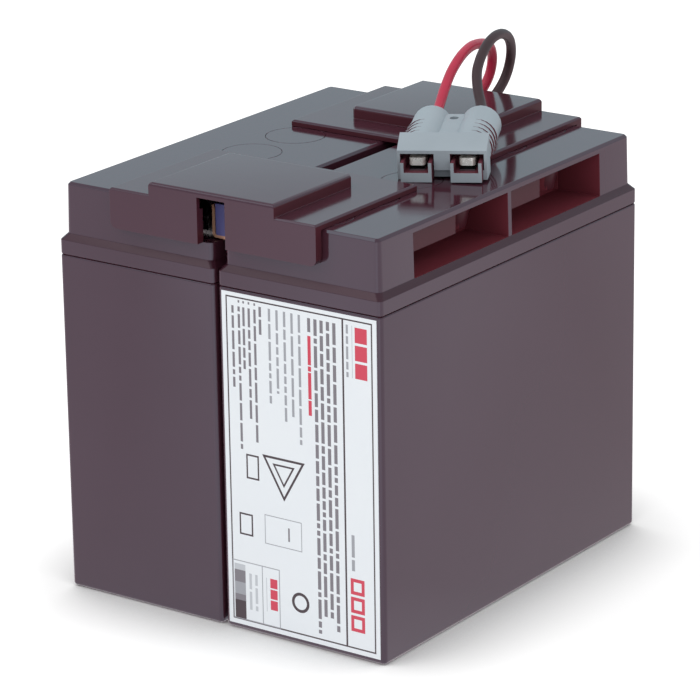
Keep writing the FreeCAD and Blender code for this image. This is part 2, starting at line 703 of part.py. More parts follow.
def make_spacer(label):
    """The blue insulating block between the link's two legs."""
    body = new_body(label)
    foot = "(" + POCKET_FLOOR + " + link_lift + link_thickness)"
    tall = "(" + POCKET_FLOOR + " + tab_height + spacer_rise - " + foot + ")"
    centre = "(tab_offset - link_thickness - spacer_width / 2)"
    outline = rectangle(body, "spacer_outline", "XZ_Plane", "spacer_width", tall,
                        (centre, foot + " + " + tall + " / 2", TAB_Y))
    pad(body, "spacer", outline, "tab_width", middle=True)
    low = number(foot)
    rounding(body, "spacer_foot", "link_bend - link_thickness",
             lambda edge, box: near(box.ZMin, low) and near(box.ZMax, low) and runs(box.YLength))
    hole = polygon(body, "hole_outline", "YZ_Plane", "tab_hole", ("-" + TAB_Y, HOLE_Z, "0"))
    pocket(body, "bolt_hole", hole, "2 * tab_offset", middle=True)
    return body


HEXAGON = 6


def make_bolt(label, grip):
    """A hexagon bolt along +X, with its head's seat at the origin."""
    body = new_body(label)
    head = polygon(body, "head_outline", "YZ_Plane", "nut_flats / sqrt(3)", sides=HEXAGON)
    pad(body, "head", head, "head_height", down=True)
    shank = polygon(body, "shank_outline", "YZ_Plane", "bolt_radius")
    pad(body, "shank", shank, grip)
    return body


def bored_prism(label, sides, radius, bore, height, place):
    """A short prism with a bore, its axis along X and its left face at the place."""
    prism = doc.addObject("Part::Prism", label + "_blank")
    prism.Polygon = sides
    bind(prism, Circumradius=radius, Height=height)
    hole = doc.addObject("Part::Prism", label + "_bore")
    hole.Polygon = HIDDEN_SIDES
    bind(hole, Circumradius=bore, Height=height)
    piece = doc.addObject("Part::Cut", label)
    piece.Base = prism
    piece.Tool = hole
    x, y, z = place
    piece.Placement = Placement(Vector(number(x), number(y), number(z)), Rotation(Vector(0, 1, 0), 90))
    bind(piece, Placement__Base__x=x, Placement__Base__y=y, Placement__Base__z=z)
    return piece


def hexagon_nut(*place):
    return bored_prism("nut", HEXAGON, "nut_flats / sqrt(3)", "bolt_radius", "nut_height", place)


def flat_washer(*place):
    return bored_prism("washer", HIDDEN_SIDES, "washer_radius", "tab_hole", "washer_height", place)


def group(label, pieces):
    """Several equal small pieces under one name."""
    compound = doc.addObject("Part::Compound", label)
    compound.Label = label
    compound.Links = pieces
    doc.recompute()
    nodes.append(compound)
    return compound


keep(make_link("series_link"))
keep(make_spacer("link_spacer"))

TAB_OUT = "(tab_offset + tab_thickness)"
LINK_GRIP = "2 * " + TAB_OUT + " + 2 * washer_height + nut_height + thread_spare"
keep(make_bolt("link_bolt", LINK_GRIP), "-" + TAB_OUT + " - washer_height", "-" + TAB_Y, HOLE_Z)
LEAD_GRIP = "link_thickness + tab_thickness + washer_height + nut_height + thread_spare"
LEAD_SEAT = "(tab_offset - link_thickness)"
keep(make_bolt("lead_bolt_black", LEAD_GRIP), LEAD_SEAT, TAB_Y, HOLE_Z)
keep(make_bolt("lead_bolt_red", LEAD_GRIP), "-" + LEAD_SEAT, TAB_Y, HOLE_Z, turn=180)
group("nuts", [hexagon_nut(TAB_OUT + " + washer_height", "-" + TAB_Y, HOLE_Z),
               hexagon_nut(TAB_OUT + " + washer_height", TAB_Y, HOLE_Z),
               hexagon_nut("-" + TAB_OUT + " - washer_height - nut_height", TAB_Y, HOLE_Z)])
group("washers", [flat_washer("-" + TAB_OUT + " - washer_height", "-" + TAB_Y, HOLE_Z),
                  flat_washer(TAB_OUT, "-" + TAB_Y, HOLE_Z),
                  flat_washer(TAB_OUT, TAB_Y, HOLE_Z),
                  flat_washer("-" + TAB_OUT + " - washer_height", TAB_Y, HOLE_Z)])


# Foam strips that hold the cases together, and the label on the right battery's front end

def make_foam(label, y):
    strip = doc.addObject("Part::Box", label)
    strip.Label = label
    bind(strip, Length="pair_gap", Width="foam_length", Height="foam_height")
    keep(strip, "-pair_gap / 2", y + " - foam_length / 2", "(case_height - foam_height) / 2")


make_foam("foam_strip_front", "-foam_spread")
make_foam("foam_strip_back", "foam_spread")

label_body = new_body("front_label")
label_outline = rounded_rectangle(label_body, "label_outline", "XZ_Plane",
                                  "battery_width - 2 * case_corner",
                                  "case_height - foot_edge - joint_edge - label_margin", "label_corner",
                                  (HALF_SPREAD, "(case_height + foot_edge - joint_edge) / 2", "battery_length / 2"))
pad(label_body, "sheet", label_outline, "label_thickness")
keep(label_body)


# The connector. It is drawn with its mating nose towards -Y, the middle of its lower front edge
# at the origin, and the red pole towards -X.

def make_housing(label):
    """Two round barrels behind a flat hood with two mouths, and a jaw under each mouth."""
    body = new_body(label)
    hood_length = "(plug_length - barrel_length - jaw_reach)"
    hood = sloping_block(body, "hood_outline", "jaw_reach", hood_length, "hood_height", "plug_height")
    pad(body, "hood", hood, "hood_width", middle=True)
    centre_gap = "(2 * pole_offset - jaw_width)"
    bay = rectangle(body, "bay_outline", "XY_Plane", centre_gap, "jaw_reach", ("0", "3 * jaw_reach / 2", "0"))
    pocket(body, "bay", bay, "jaw_height", back=True)
    poles = (("red", "-(pole_offset)", "-(pole_offset + grip_depth)"), ("black", "pole_offset", "pole_offset + grip_depth"))
    for name, pole, grip in poles:
        jaw = rectangle(body, "jaw_outline_" + name, "XY_Plane", "jaw_width", "jaw_reach + hood_wall",
                        (pole, "(jaw_reach + hood_wall) / 2", "0"))
        pad(body, "jaw_" + name, jaw, "jaw_height")
        barrel = polygon(body, "barrel_outline_" + name, "XZ_Plane", "plug_height / 2",
                         (pole, "plug_height / 2", "-plug_length"), sides=SHOWN_SIDES)
        pad(body, "barrel_" + name, barrel, "barrel_length")
        for ring in range(int(number("grip_count"))):
            rib = polygon(body, "grip_outline_%s_%d" % (name, ring), "XZ_Plane", "plug_height / 2",
                          (grip, "plug_height / 2",
                           "-(plug_length - barrel_length + grip_pitch * %d)" % (ring + 1)), sides=SHOWN_SIDES)
            pad(body, "grip_%s_%d" % (name, ring), rib, "grip_width")
    web = rectangle(body, "web_outline", "XZ_Plane", "2 * pole_offset", "web_height",
                    ("0", "plug_height / 2", "web_setback - plug_length"))
    pad(body, "web", web, "barrel_length")
    hole = circle(body, "web_hole_outline", "XY_Plane", "web_hole",
                  ("0", "plug_length - web_hole_setback", "plug_height"))
    pocket(body, "web_hole", hole, "plug_height")
    mouth_tall = "(hood_height - hood_wall - jaw_height)"
    for name, pole, grip in poles:
        mouth = rectangle(body, "mouth_outline_" + name, "XZ_Plane", "mouth_width", mouth_tall,
                          (pole, "jaw_height + " + mouth_tall + " / 2", "0"))
        pocket(body, "mouth_" + name, mouth, "plug_length - barrel_length - hood_wall")
        bore = polygon(body, "bore_outline_" + name, "XZ_Plane", "wire_bore",
                       (pole, "plug_height / 2", "-plug_length"), sides=SHOWN_SIDES)
        pocket(body, "wire_bore_" + name, bore, "barrel_length + 2 * hood_wall", back=True)
        for side, way in (("left", "-"), ("right", "+")):
            rail = rectangle(body, "rail_outline_%s_%s" % (name, side), "XY_Plane", "hood_wall", "rail_length",
                             ("%s %s (jaw_width - hood_wall) / 2" % (pole, way), "rail_length / 2", "jaw_height"))
            pad(body, "rail_%s_%s" % (name, side), rail, "rail_height")
    return body


def make_contact(label, sign):
    """A silvered contact: a crimp barrel on the lead and a flat tongue with a rounded tip."""
    body = new_body(label)
    pole = sign + "(pole_offset)"
    rear = "(plug_length - crimp_setback)"
    sleeve = polygon(body, "crimp_outline", "XZ_Plane", "crimp_radius", (pole, "plug_height / 2", "-" + rear))
    pad(body, "crimp", sleeve, "crimp_length")
    tongue_length = "(" + rear + " - crimp_length - tongue_setback + hood_wall)"
    strip = rectangle(body, "tongue_outline", "XY_Plane", "tongue_width", tongue_length,
                      (pole, "tongue_setback + " + tongue_length + " / 2", "plug_height / 2 - tongue_drop"))
    pad(body, "tongue", strip, "tongue_thickness")
    tip = number("tongue_setback")
    rounding(body, "tip_corners", "tongue_width / 4",
             lambda edge, box: near(box.YMin, tip) and near(box.YMax, tip) and runs(box.ZLength))
    return body


def make_spring(label, sign):
    """The leaf spring that lies on the mouth's floor under the tongue."""
    body = new_body(label)
    length = "(plug_length - barrel_length - spring_setback - spring_gap)"
    leaf = rectangle(body, "leaf_outline", "XY_Plane", "spring_width", length,
                     (sign + "(pole_offset)", "spring_setback + " + length + " / 2", "jaw_height"))
    pad(body, "leaf", leaf, "spring_thickness")
    return body


# The red jaw's outer corner rests on the right lid and the barrels on the back plate's edge, which
# runs along X, so the connector leans about that axis alone
turn = math.radians(number("plug_turn"))
corner = number("pole_offset + jaw_width / 2") * math.sin(turn)
plate_edge_y = number("battery_length / 2 + cover_overhang - cover_depth")
lean = math.atan(number("plate_thickness") / (plate_edge_y - number("plug_y") + corner))
plug_place = Placement(Vector(number("plug_x"), number("plug_y"), number(LID_TOP) + corner * math.sin(lean)),
                       Rotation(Vector(1, 0, 0), math.degrees(lean)).multiply(
                           Rotation(Vector(0, 0, 1), number("plug_turn"))))
for piece in (make_housing("connector_housing"),
              make_contact("contact_red", "-"), make_contact("contact_black", ""),
              make_spring("contact_spring_red", "-"), make_spring("contact_spring_black", "")):
    piece.Placement = plug_place
    nodes.append(piece)


# The ring lugs and the leads

def section(start, along, radius):
    """A closed polygon about an axis, with its corners on a circle of that radius."""
    spoke = along.cross(Vector(1, 1, 0)).normalize() * number(radius)
    corners = [start + Rotation(along, 360.0 * i / HIDDEN_SIDES).multVec(spoke) for i in range(HIDDEN_SIDES)]
    return Part.makePolygon(corners + corners[:1])


def prism(start, along, radius, length):
    return Part.Face(section(start, along, radius)).extrude(along * number(length))


def make_lug(label, sign):
    """A ring tongue on the back tab's inner face, with a barrel that points up and out."""
    slope = number("lug_slope")
    turned = Rotation(Vector(1, 0, 0), slope)
    ring = prism(Vector(0, 0, 0), Vector(1, 0, 0), "lug_radius", "link_thickness")
    neck = Part.makeBox(number("link_thickness"), number("lug_reach - link_thickness"), number("2 * lug_barrel"),
                        Vector(0, 0, -number("lug_barrel")))
    barrel = prism(Vector(number("link_thickness - lug_barrel"), number("lug_radius"), 0), Vector(0, 1, 0),
                   "lug_barrel", "lug_reach - lug_radius")
    hole = prism(Vector(0, 0, 0), Vector(1, 0, 0), "tab_hole", "link_thickness")
    shape = ring.fuse(neck).fuse(barrel).cut(hole).removeSplitter()
    if sign < 0:
        shape = shape.mirror(Vector(0, 0, 0), Vector(1, 0, 0))
    lug = doc.addObject("Part::Feature", label)
    lug.Label = label
    lug.Shape = shape
    lug.Placement = Placement(Vector(sign * number(LEAD_SEAT), number(TAB_Y), number(HOLE_Z)), turned)
    nodes.append(lug)
    return lug


make_lug("lug_red", -1)
make_lug("lug_black", 1)


def plug_point(sign, depth):
    """A point on a pole's axis, a depth in from the connector's tail."""
    local = Vector(sign * number("pole_offset"), number("plug_length") - depth, number("plug_height / 2"))
    return plug_place.multVec(local)


def lug_point(sign, reach):
    """A point on a lug's barrel axis, at a distance from the ring's centre."""
    slope = math.radians(number("lug_slope"))
    return Vector(sign * number(LEAD_SEAT + " + link_thickness - lug_barrel"),
                  number(TAB_Y) + reach * math.cos(slope), number(HOLE_Z) + reach * math.sin(slope))


# Each lead runs straight from its lug and straight into its barrel, down to the crimp. The points
# between are read off the photograph.
LUG_END = number("lug_reach")
LUG_RUN = 2 * LUG_END
CRIMP_END = number("crimp_setback")
# How far behind the connector's tail a lead comes onto its pole's axis
TAIL_RUN = -8.5
RED_ROUTE = [lug_point(-1, LUG_END), lug_point(-1, LUG_RUN),
             Vector(-0.9, 99.6, 177.2), Vector(1.4, 99.2, 186.6), Vector(3.8, 93.0, 193.8),
             Vector(6.2, 82.6, 196.8), Vector(8.6, 71.4, 198.2), Vector(10.6, 60.2, 196.0),
             Vector(12.0, 49.8, 190.0), plug_point(-1, TAIL_RUN), plug_point(-1, CRIMP_END)]
BLACK_ROUTE = [lug_point(1, LUG_END), lug_point(1, LUG_RUN),
               Vector(6.2, 101.2, 177.6), Vector(8.8, 101.8, 188.0), Vector(12.6, 94.8, 197.2),
               Vector(15.2, 84.6, 202.0), Vector(16.8, 74.0, 201.8), Vector(18.4, 64.2, 197.2),
               Vector(21.6, 55.0, 190.2), plug_point(1, TAIL_RUN), plug_point(1, CRIMP_END)]


def cord_path(points):
    """Straight runs joined by tangent arcs. Each arc takes 0.45 of its shorter run."""
    edges = []
    radii = []
    here = points[0]
    for before, corner, after in zip(points, points[1:], points[2:]):
        first = corner - before
        second = after - corner
        shorter = min(first.Length, second.Length)
        bend = first.getAngle(second)
        radii.append(0.45 * shorter / math.tan(bend / 2))
        leave = corner - first.normalize() * (0.45 * shorter)
        arrive = corner + second.normalize() * (0.45 * shorter)
        inward = (second - first).normalize()
        middle = corner + inward * (radii[-1] / math.cos(bend / 2) - radii[-1])
        edges.append(Part.LineSegment(here, leave).toShape())
        edges.append(Part.Arc(leave, middle, arrive).toShape())
        here = arrive
    edges.append(Part.LineSegment(here, points[-1]).toShape())
    return Part.Wire(edges), radii


def make_lead(label, points):
    """An insulated lead swept along its path."""
    path, radii = cord_path(points)
    profile = section(points[0], points[1] - points[0], "lead_radius")
    tube = path.makePipeShell([profile], True, False, 1)
    lead = doc.addObject("Part::Feature", label)
    lead.Label = label
    lead.Shape = tube
    nodes.append(lead)
    ideal = Part.Face(profile).Area * path.Length
    print("%s: length %.1f, least radius %.1f, radii %s, volume %.4f of section times length"
          % (label, path.Length, min(radii), [round(r, 1) for r in radii], tube.Volume / ideal))


make_lead("lead_red", RED_ROUTE)
make_lead("lead_black", BLACK_ROUTE)


# Every object has to be sound before anything is written
doc.recompute()
for item in doc.Objects:
    if "Invalid" in item.State or "Error" in item.State:
        raise RuntimeError("%s is in state %s" % (item.Label, item.State))
for node in nodes:
    if node.Shape.isNull() or not node.Shape.isValid():
        raise RuntimeError("%s has no sound shape" % node.Label)
os.makedirs("parts", exist_ok=True)
for node in nodes:
    node.Shape.exportStep("parts/%s.step" % node.Label)
print("%d nodes, %d solids" % (len(nodes), sum(len(node.Shape.Solids) for node in nodes)))
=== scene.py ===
# %% [markdown]
# # A battery cartridge for an uninterruptible power supply
#
# Two sealed lead-acid batteries stand side by side under two end covers. A red and a black lead leave
# by the back cover's notch, loop up and forward, and end in a grey two-pole connector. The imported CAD
# model gives every size and place. This script dresses it: it makes the visible pieces again with
# finer surfaces, gives every piece a finish, and sets up the camera, the floor and the light.

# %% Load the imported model
import math

import bmesh
import bpy
import numpy as np
from mathutils import Matrix, Vector


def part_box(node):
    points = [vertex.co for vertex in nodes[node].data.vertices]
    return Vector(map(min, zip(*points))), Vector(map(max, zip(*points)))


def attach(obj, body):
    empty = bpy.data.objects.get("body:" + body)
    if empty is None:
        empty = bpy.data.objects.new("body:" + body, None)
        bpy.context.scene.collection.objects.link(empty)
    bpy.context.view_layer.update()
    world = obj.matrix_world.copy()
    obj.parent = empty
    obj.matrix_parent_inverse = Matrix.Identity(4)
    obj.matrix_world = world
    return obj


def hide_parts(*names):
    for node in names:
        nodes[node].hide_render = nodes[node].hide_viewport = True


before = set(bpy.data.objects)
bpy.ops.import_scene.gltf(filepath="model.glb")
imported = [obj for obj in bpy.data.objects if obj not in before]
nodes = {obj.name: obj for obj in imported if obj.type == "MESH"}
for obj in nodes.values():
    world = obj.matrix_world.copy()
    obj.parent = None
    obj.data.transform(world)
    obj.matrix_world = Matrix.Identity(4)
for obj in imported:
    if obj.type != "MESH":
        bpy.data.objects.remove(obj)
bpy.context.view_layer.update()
MM = 0.001

# %% [markdown]
# ## The camera
#
# The photograph is taken from the right of the labelled end and a little above. A long lens far away
# keeps the vertical edges nearly upright, as in a catalogue picture. The camera could be aimed by eye,
# but the angles below were fitted to the corners of the batteries, so the render lies over the photo.

# %% Camera at the photograph's angle
AZIMUTH, ELEVATION, ROLL = (math.radians(angle) for angle in (35.45, 18.28, -0.87))
DISTANCE = 1.543
PIXELS_WIDE = 700
FOCAL_PIXELS = 3852
SENSOR = 36.0
AIM_HEIGHT, AIM_RIGHT, AIM_UP = 0.080, -0.00219, 0.00676

back = Vector((math.sin(AZIMUTH) * math.cos(ELEVATION), -math.cos(AZIMUTH) * math.cos(ELEVATION),
               math.sin(ELEVATION)))
level = Vector((math.cos(AZIMUTH), math.sin(AZIMUTH), 0))
upright = back.cross(level)
right = level * math.cos(ROLL) + upright * math.sin(ROLL)
up = upright * math.cos(ROLL) - level * math.sin(ROLL)
aim = Vector((0, 0, AIM_HEIGHT)) + right * AIM_RIGHT + up * AIM_UP
axes = Matrix((right, up, back)).transposed().to_4x4()

camera = bpy.data.objects.new("camera", bpy.data.cameras.new("camera"))
camera.data.sensor_width = SENSOR
camera.data.lens = FOCAL_PIXELS / PIXELS_WIDE * SENSOR
camera.data.clip_end = 20.0
camera.matrix_world = Matrix.Translation(aim + back * DISTANCE) @ axes
bpy.context.scene.collection.objects.link(camera)
bpy.context.scene.camera = camera
print("lens", round(camera.data.lens, 1), "mm")

# %% [markdown]
# ## The leads
#
# Each lead is a stranded copper wire in a soft insulation 4.2 mm thick. It climbs out of the notch,
# bends over in one loop and goes down into a barrel of the connector. A lead could be a chain of arcs,
# but a real one has no corners anywhere, so a NURBS spline is drawn through the air by a few control
# points. They are the points of the CAD route, in metres, so the lead lies where its solid does.

# %% The two leads as splines
LEAD_DIAMETER = 0.0042
# The CAD solid has flat sides between its corners, so the round tube keeps a little inside them
TUBE_CLEARANCE = 0.00003
RED_ROUTE = [
    (-0.003700, 0.085610, 0.165515), (-0.003700, 0.094220, 0.169530), (-0.0009, 0.0996, 0.1772),
    (0.0014, 0.0992, 0.1866), (0.0038, 0.0930, 0.1938), (0.0062, 0.0826, 0.1968),
    (0.0086, 0.0714, 0.1982), (0.0106, 0.0602, 0.1960), (0.0120, 0.0498, 0.1900),
    (0.017301, 0.033122, 0.177968), (0.025236, 0.016880, 0.177042),
]
BLACK_ROUTE = [
    (0.003700, 0.085610, 0.165515), (0.003700, 0.094220, 0.169530), (0.0062, 0.1012, 0.1776),
    (0.0088, 0.1018, 0.1880), (0.0126, 0.0948, 0.1972), (0.0152, 0.0846, 0.2020),
    (0.0168, 0.0740, 0.2018), (0.0184, 0.0642, 0.1972), (0.0216, 0.0550, 0.1902),
    (0.034738, 0.041613, 0.178452), (0.042673, 0.025371, 0.177526),
]


def lead_on_route(name, route):
    """A round tube whose centreline is a quadratic NURBS spline with the route as control points."""
    curve = bpy.data.curves.new(name, "CURVE")
    curve.dimensions = "3D"
    spline = curve.splines.new("NURBS")
    spline.points.add(len(route) - 1)
    spline.points.foreach_set("co", np.column_stack([route, np.ones(len(route))]).ravel())
    spline.order_u = 3
    spline.use_endpoint_u = True
    curve.resolution_u = 14
    curve.bevel_depth = LEAD_DIAMETER / 2 - TUBE_CLEARANCE
    curve.bevel_resolution = 6
    curve.use_fill_caps = True
    lead = bpy.data.objects.new(name, curve)
    bpy.context.scene.collection.objects.link(lead)
    return lead


red_lead = lead_on_route("red_lead", RED_ROUTE)
black_lead = lead_on_route("black_lead", BLACK_ROUTE)
print("leads:", len(RED_ROUTE), "and", len(BLACK_ROUTE), "control points")

# %% [markdown]
# ## Two helpers for every finish
#
# Colours are written as the eye and a colour picker know them, in sRGB hex, while a shader works with
# linear light, so one function turns one into the other. A second one adds a node to a material: its
# options, and for each input either a plain value or the output of another node. Where inputs share a
# name, such as the two colours of a Mix node, they go by their number.

# %% Colour and node helpers
def linear(hex_code):
    """sRGB hex to linear RGBA: c/12.92 below 0.04045, else ((c + 0.055)/1.055) to the power 2.4."""
    parts = np.array([int(hex_code[i:i + 2], 16) for i in (1, 3, 5)]) / 255
    light = np.where(parts <= 0.04045, parts / 12.92, ((parts + 0.055) / 1.055) ** 2.4)
    return (*(float(v) for v in light), 1.0)


def add(tree, kind, inputs=None, **options):
    """Adds one node, sets its options, then gives each input a value or links it to an output."""
    node = tree.nodes.new(kind)
    for name, value in options.items():
        setattr(node, name, value)
    for name, value in (inputs or {}).items():
        if isinstance(value, bpy.types.NodeSocket):
            tree.links.new(value, node.inputs[name])
        else:
            node.inputs[name].default_value = value
    return node


print("#808080 is linear", round(linear("#808080")[0], 3))

# %% [markdown]
# ## A finish from its making
#
# Most surfaces here come from a mould, a press or a plating bath. Their look has three layers: a base
# whose shade drifts a little over some centimetres, a gloss that drifts with it, and a fine relief
# from the tool. One recipe covers them all, and each material below names its real sizes. A painted
# image would do the same, but it would need unwrapping, and nodes in the object's space stay sharp at
# any distance.

# %% The recipe for a finish
def finish(name, shades, gloss, drift_mm, grain_mm, relief_mm, shader=None):
    """Shade and roughness follow a wide noise of drift_mm; a fine noise of grain_mm lifts the normal."""
    material = bpy.data.materials.new(name)
    material.use_nodes = True
    tree = material.node_tree
    tree.nodes.clear()
    place = add(tree, "ShaderNodeTexCoord").outputs["Object"]
    drift = add(tree, "ShaderNodeTexNoise", {"Vector": place, "Scale": 1 / (drift_mm * MM), "Detail": 2.0})
    shade = add(tree, "ShaderNodeMix", {0: drift.outputs[0], 6: linear(shades[0]), 7: linear(shades[1])},
                data_type="RGBA")
    dull = add(tree, "ShaderNodeMapRange", {0: drift.outputs[0], 3: gloss[0], 4: gloss[1]})
    grain = add(tree, "ShaderNodeTexNoise", {"Vector": place, "Scale": 1 / (grain_mm * MM), "Detail": 3.0})
    relief = add(tree, "ShaderNodeBump", {"Height": grain.outputs[0], "Distance": relief_mm * MM})
    surface = add(tree, "ShaderNodeBsdfPrincipled", {
        "Base Color": shade.outputs[2], "Roughness": dull.outputs[0], "Normal": relief.outputs[0],
        **(shader or {})})
    add(tree, "ShaderNodeOutputMaterial", {"Surface": surface.outputs[0]})
    return material


# %% [markdown]
# ## What each piece is made of
#
# The batteries are moulded in a glossy ABS that looks black in the dark but is a deep brown red where
# it sees no reflection, as in the hand recesses. Its faces pick up the white studio. Slow waves of a
# thick moulded wall bend the reflections a little, so the relief is wide and very shallow.

# %% Moulded plastics
battery_abs = finish(
    # Thick-walled glossy ABS: deep wine brown, reflections that drift over a few centimetres
    "moulded_glossy_abs", ("#43222C", "#482834"), (0.07, 0.13), 45, 16, 0.02,
    {"IOR": 1.6, "Specular Tint": linear("#D4F0FF")})
cover_abs = finish(
    # The covers: the same plastic with a little less gloss and shorter, slightly stronger waves
    "moulded_cover_abs", ("#44222C", "#4A2834"), (0.09, 0.16), 30, 11, 0.02,
    {"IOR": 1.54, "Specular Tint": linear("#DAE8F6")})
recess_painted_shade_abs = finish(
    # Painted light and shade in the hand recesses, which look wine red and dull: a redder, brighter base with
    # little gloss stands in for the dim light there
    "recess_painted_shade_abs", ("#6C2F38", "#76353F"), (0.3, 0.42), 20, 9, 0.02, {"IOR": 1.45, "Specular IOR Level": 0.12})
lip_and_step_painted_shade_abs = finish(
    # Painted shade on lips, bosses and the upright steps of the covers, which look dark and dull: a darker,
    # duller copy of the moulding
    "lip_and_step_painted_shade_abs", ("#4A2028", "#502630"), (0.25, 0.36), 20, 9, 0.02, {"IOR": 1.45, "Specular IOR Level": 0.2})
sloping_abs = finish(
    # Painted shade on the sloping shelf round each lid, which looks darker and less glossy than the walls: a
    # darker copy with its reflection turned down
    "shelf_painted_shade_abs", ("#381924", "#3E1F2A"), (0.22, 0.3), 20, 9, 0.02,
    {"IOR": 1.46, "Specular Tint": linear("#FFE8F0")})
connector_pc = finish(
    # Satin polycarbonate with a spark-eroded tool texture, drawn at 0.35 mm so that it shows
    "spark_textured_polycarbonate", ("#98A2AA", "#A2ACB4"), (0.38, 0.5), 12, 0.35, 0.012, {"IOR": 1.58})
mouth_pc = finish(
    # Painted shade and painted reflection inside the connector's mouths, which look dark red although the
    # housing is grey: the grey in deep shade, with the lid's red painted in
    "mouth_painted_shade_and_reflection_pc", ("#623039", "#6E3A45"), (0.5, 0.6), 12, 0.5, 0.01, {"Specular IOR Level": 0.1})
spacer_nylon = finish(
    # Blue-violet moulded nylon, soft gloss
    "moulded_blue_nylon", ("#4E4E84", "#5A5A90"), (0.35, 0.45), 6, 0.8, 0.01, {"IOR": 1.53})
print("plastics done")

# %% [markdown]
# ## Metals, rubber and foam
#
# The contacts are silvered copper, the link is bare stamped copper that has browned in the air, the
# bolts are zinc plated, the terminals tinned, and the plates inside are cast and pasted lead. Metals
# keep the default index of refraction: their colour is the colour of the reflection.

# %% Metals and soft materials
contact_silver = finish(
    # Silver plate over copper: bright, clouded by handling, so half of its light is scattered
    "silver_plated_copper", ("#E6E6E0", "#FFFFFA"), (0.2, 0.36), 3, 0.6, 0.004, {"Metallic": 0.45})
link_copper = finish(
    # Stamped copper bar, browned in patches, so part of its light is scattered
    "stamped_copper", ("#B07A62", "#E0B498"), (0.22, 0.36), 5, 0.5, 0.006, {"Metallic": 0.5})
bolt_zinc = finish(
    # Blue-passivated zinc plate: pale, faintly clouded
    "zinc_plated_steel", ("#9DA1A6", "#B9BDC2"), (0.25, 0.36), 4, 0.3, 0.004, {"Metallic": 1.0})
tinned_terminal = finish(
    # Dipped tin: bright with soft runs
    "tinned_copper", ("#A9A9A6", "#C6C6C2"), (0.2, 0.32), 6, 1.5, 0.01, {"Metallic": 1.0})
cast_lead = finish(
    # Pasted lead plates: dull blue-grey with a sandy grain
    "cast_lead", ("#55585E", "#6D7076"), (0.5, 0.7), 9, 0.7, 0.03, {"Metallic": 0.85})
spring_steel = finish(
    # Rolled stainless strip
    "rolled_spring_steel", ("#8C8E90", "#A4A6A8"), (0.2, 0.3), 8, 0.25, 0.003, {"Metallic": 1.0})
valve_rubber = finish(
    # Moulded neoprene: matt black
    "moulded_neoprene", ("#17181A", "#222326"), (0.6, 0.75), 7, 0.4, 0.01, {"IOR": 1.52})
closed_foam = finish(
    # Closed-cell foam with cells of about half a millimetre
    "closed_cell_foam", ("#2C2C2E", "#3A3A3D"), (0.85, 0.95), 12, 0.5, 0.08, {"IOR": 1.45})
red_insulation = finish(
    # Soft extruded PVC: satin red, faint ripples from the die
    "red_pvc_insulation", ("#B82643", "#C62C4C"), (0.3, 0.4), 8, 0.9, 0.006, {"IOR": 1.48})
black_insulation = finish(
    # The same insulation in black, with a warm reflection
    "black_pvc_insulation", ("#3A292C", "#423034"), (0.4, 0.5), 8, 0.9, 0.006,
    {"IOR": 1.5, "Specular Tint": linear("#FFE0E0")})
print(len(bpy.data.materials), "materials so far")

# %% [markdown]
# ## Mesh helpers
#
# Every new surface is worked out as whole numpy arrays: a table of points with one row for each step
# of a profile and one column for each step round a path. This helper turns such a table into a mesh
# object at the origin, with its faces pointing outwards.

# %% From a table of points to a mesh
def grid_faces(rows, columns, closed_rows=False, closed_columns=True):
    """Four-cornered faces of a table of points, numbered row by row, as an array of indices."""
    row = np.arange(rows if closed_rows else rows - 1)[:, None]
    column = np.arange(columns if closed_columns else columns - 1)[None, :]
    here, below, after = row * columns, (row + 1) % rows * columns, (column + 1) % columns
    corners = [here + column, here + after, below + after, below + column]
    return np.stack([np.broadcast_to(c, (row.size, column.size)) for c in corners], -1).reshape(-1, 4)


def put_mesh(name, points, faces, smooth_deg=40):
    """Mesh object from points in metres and faces; edges sharper than smooth_deg stay sharp."""
    mesh = bpy.data.meshes.new(name)
    mesh.from_pydata(np.asarray(points).reshape(-1, 3).tolist(), [], [list(map(int, f)) for f in faces])
    mesh.update()
    shape = bmesh.new()
    shape.from_mesh(mesh)
    bmesh.ops.recalc_face_normals(shape, faces=shape.faces)
    shape.to_mesh(mesh)
    shape.free()
    mesh.shade_smooth()
    mesh.set_sharp_from_angle(angle=math.radians(smooth_deg))
    made = bpy.data.objects.new(name, mesh)
    bpy.context.scene.collection.objects.link(made)
    return made


def dress(piece, material, slot, *stands_for):
    """The piece gets its finish, rides on the cartridge and stands for the CAD nodes named."""
    if material is not None:
        piece.data.materials.clear()
        piece.data.materials.append(material)
    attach(piece, "root")
    if stands_for:
        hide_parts(*stands_for)
    return piece


dress(red_lead, red_insulation, "insulation_red", "lead_red")
dress(black_lead, black_insulation, "insulation_black", "lead_black")
print("dressed:", red_lead.name, "and", black_lead.name)

# %% [markdown]
# ## The battery cases
#
# Each case is a deep box with rounded corners and a rounded foot, closed by the welded lid. It could
# be a cube with a bevel, but as a loft it is one formula: a rounded rectangle is carried up a profile
# that gives, for each step, the height and how far the loop lies inside the outer wall. The profile
# goes round the foot, up the wall, over the rim and down inside, so the case is a real hollow box.

# %% Rounded loops and lofts
def rounded_loop(low, high, radius, steps=8):
    """Loop of a rectangle whose corners are quarter circles: corner centre + radius (cos a, sin a)."""
    turn = np.linspace(0, math.pi / 2, steps)
    centres = np.array([[high[0] - radius, high[1] - radius], [low[0] + radius, high[1] - radius],
                        [low[0] + radius, low[1] + radius], [high[0] - radius, low[1] + radius]])
    angles = turn[None, :] + np.arange(4)[:, None] * math.pi / 2
    around = np.stack([np.cos(angles), np.sin(angles)], -1) * radius
    return (centres[:, None, :] + around).reshape(-1, 2)


def arc(centre_inset, centre_height, radius, start_deg, end_deg, steps=6):
    """Profile points (inset, height) on a circle arc."""
    a = np.radians(np.linspace(start_deg, end_deg, steps))
    return np.column_stack([centre_inset + radius * np.cos(a), centre_height + radius * np.sin(a)])


WALL, CORNER, FOOT, RIM = 2.6 * MM, 2.0 * MM, 1.5 * MM, 0.6 * MM
INNER_CORNER = 0.3 * MM


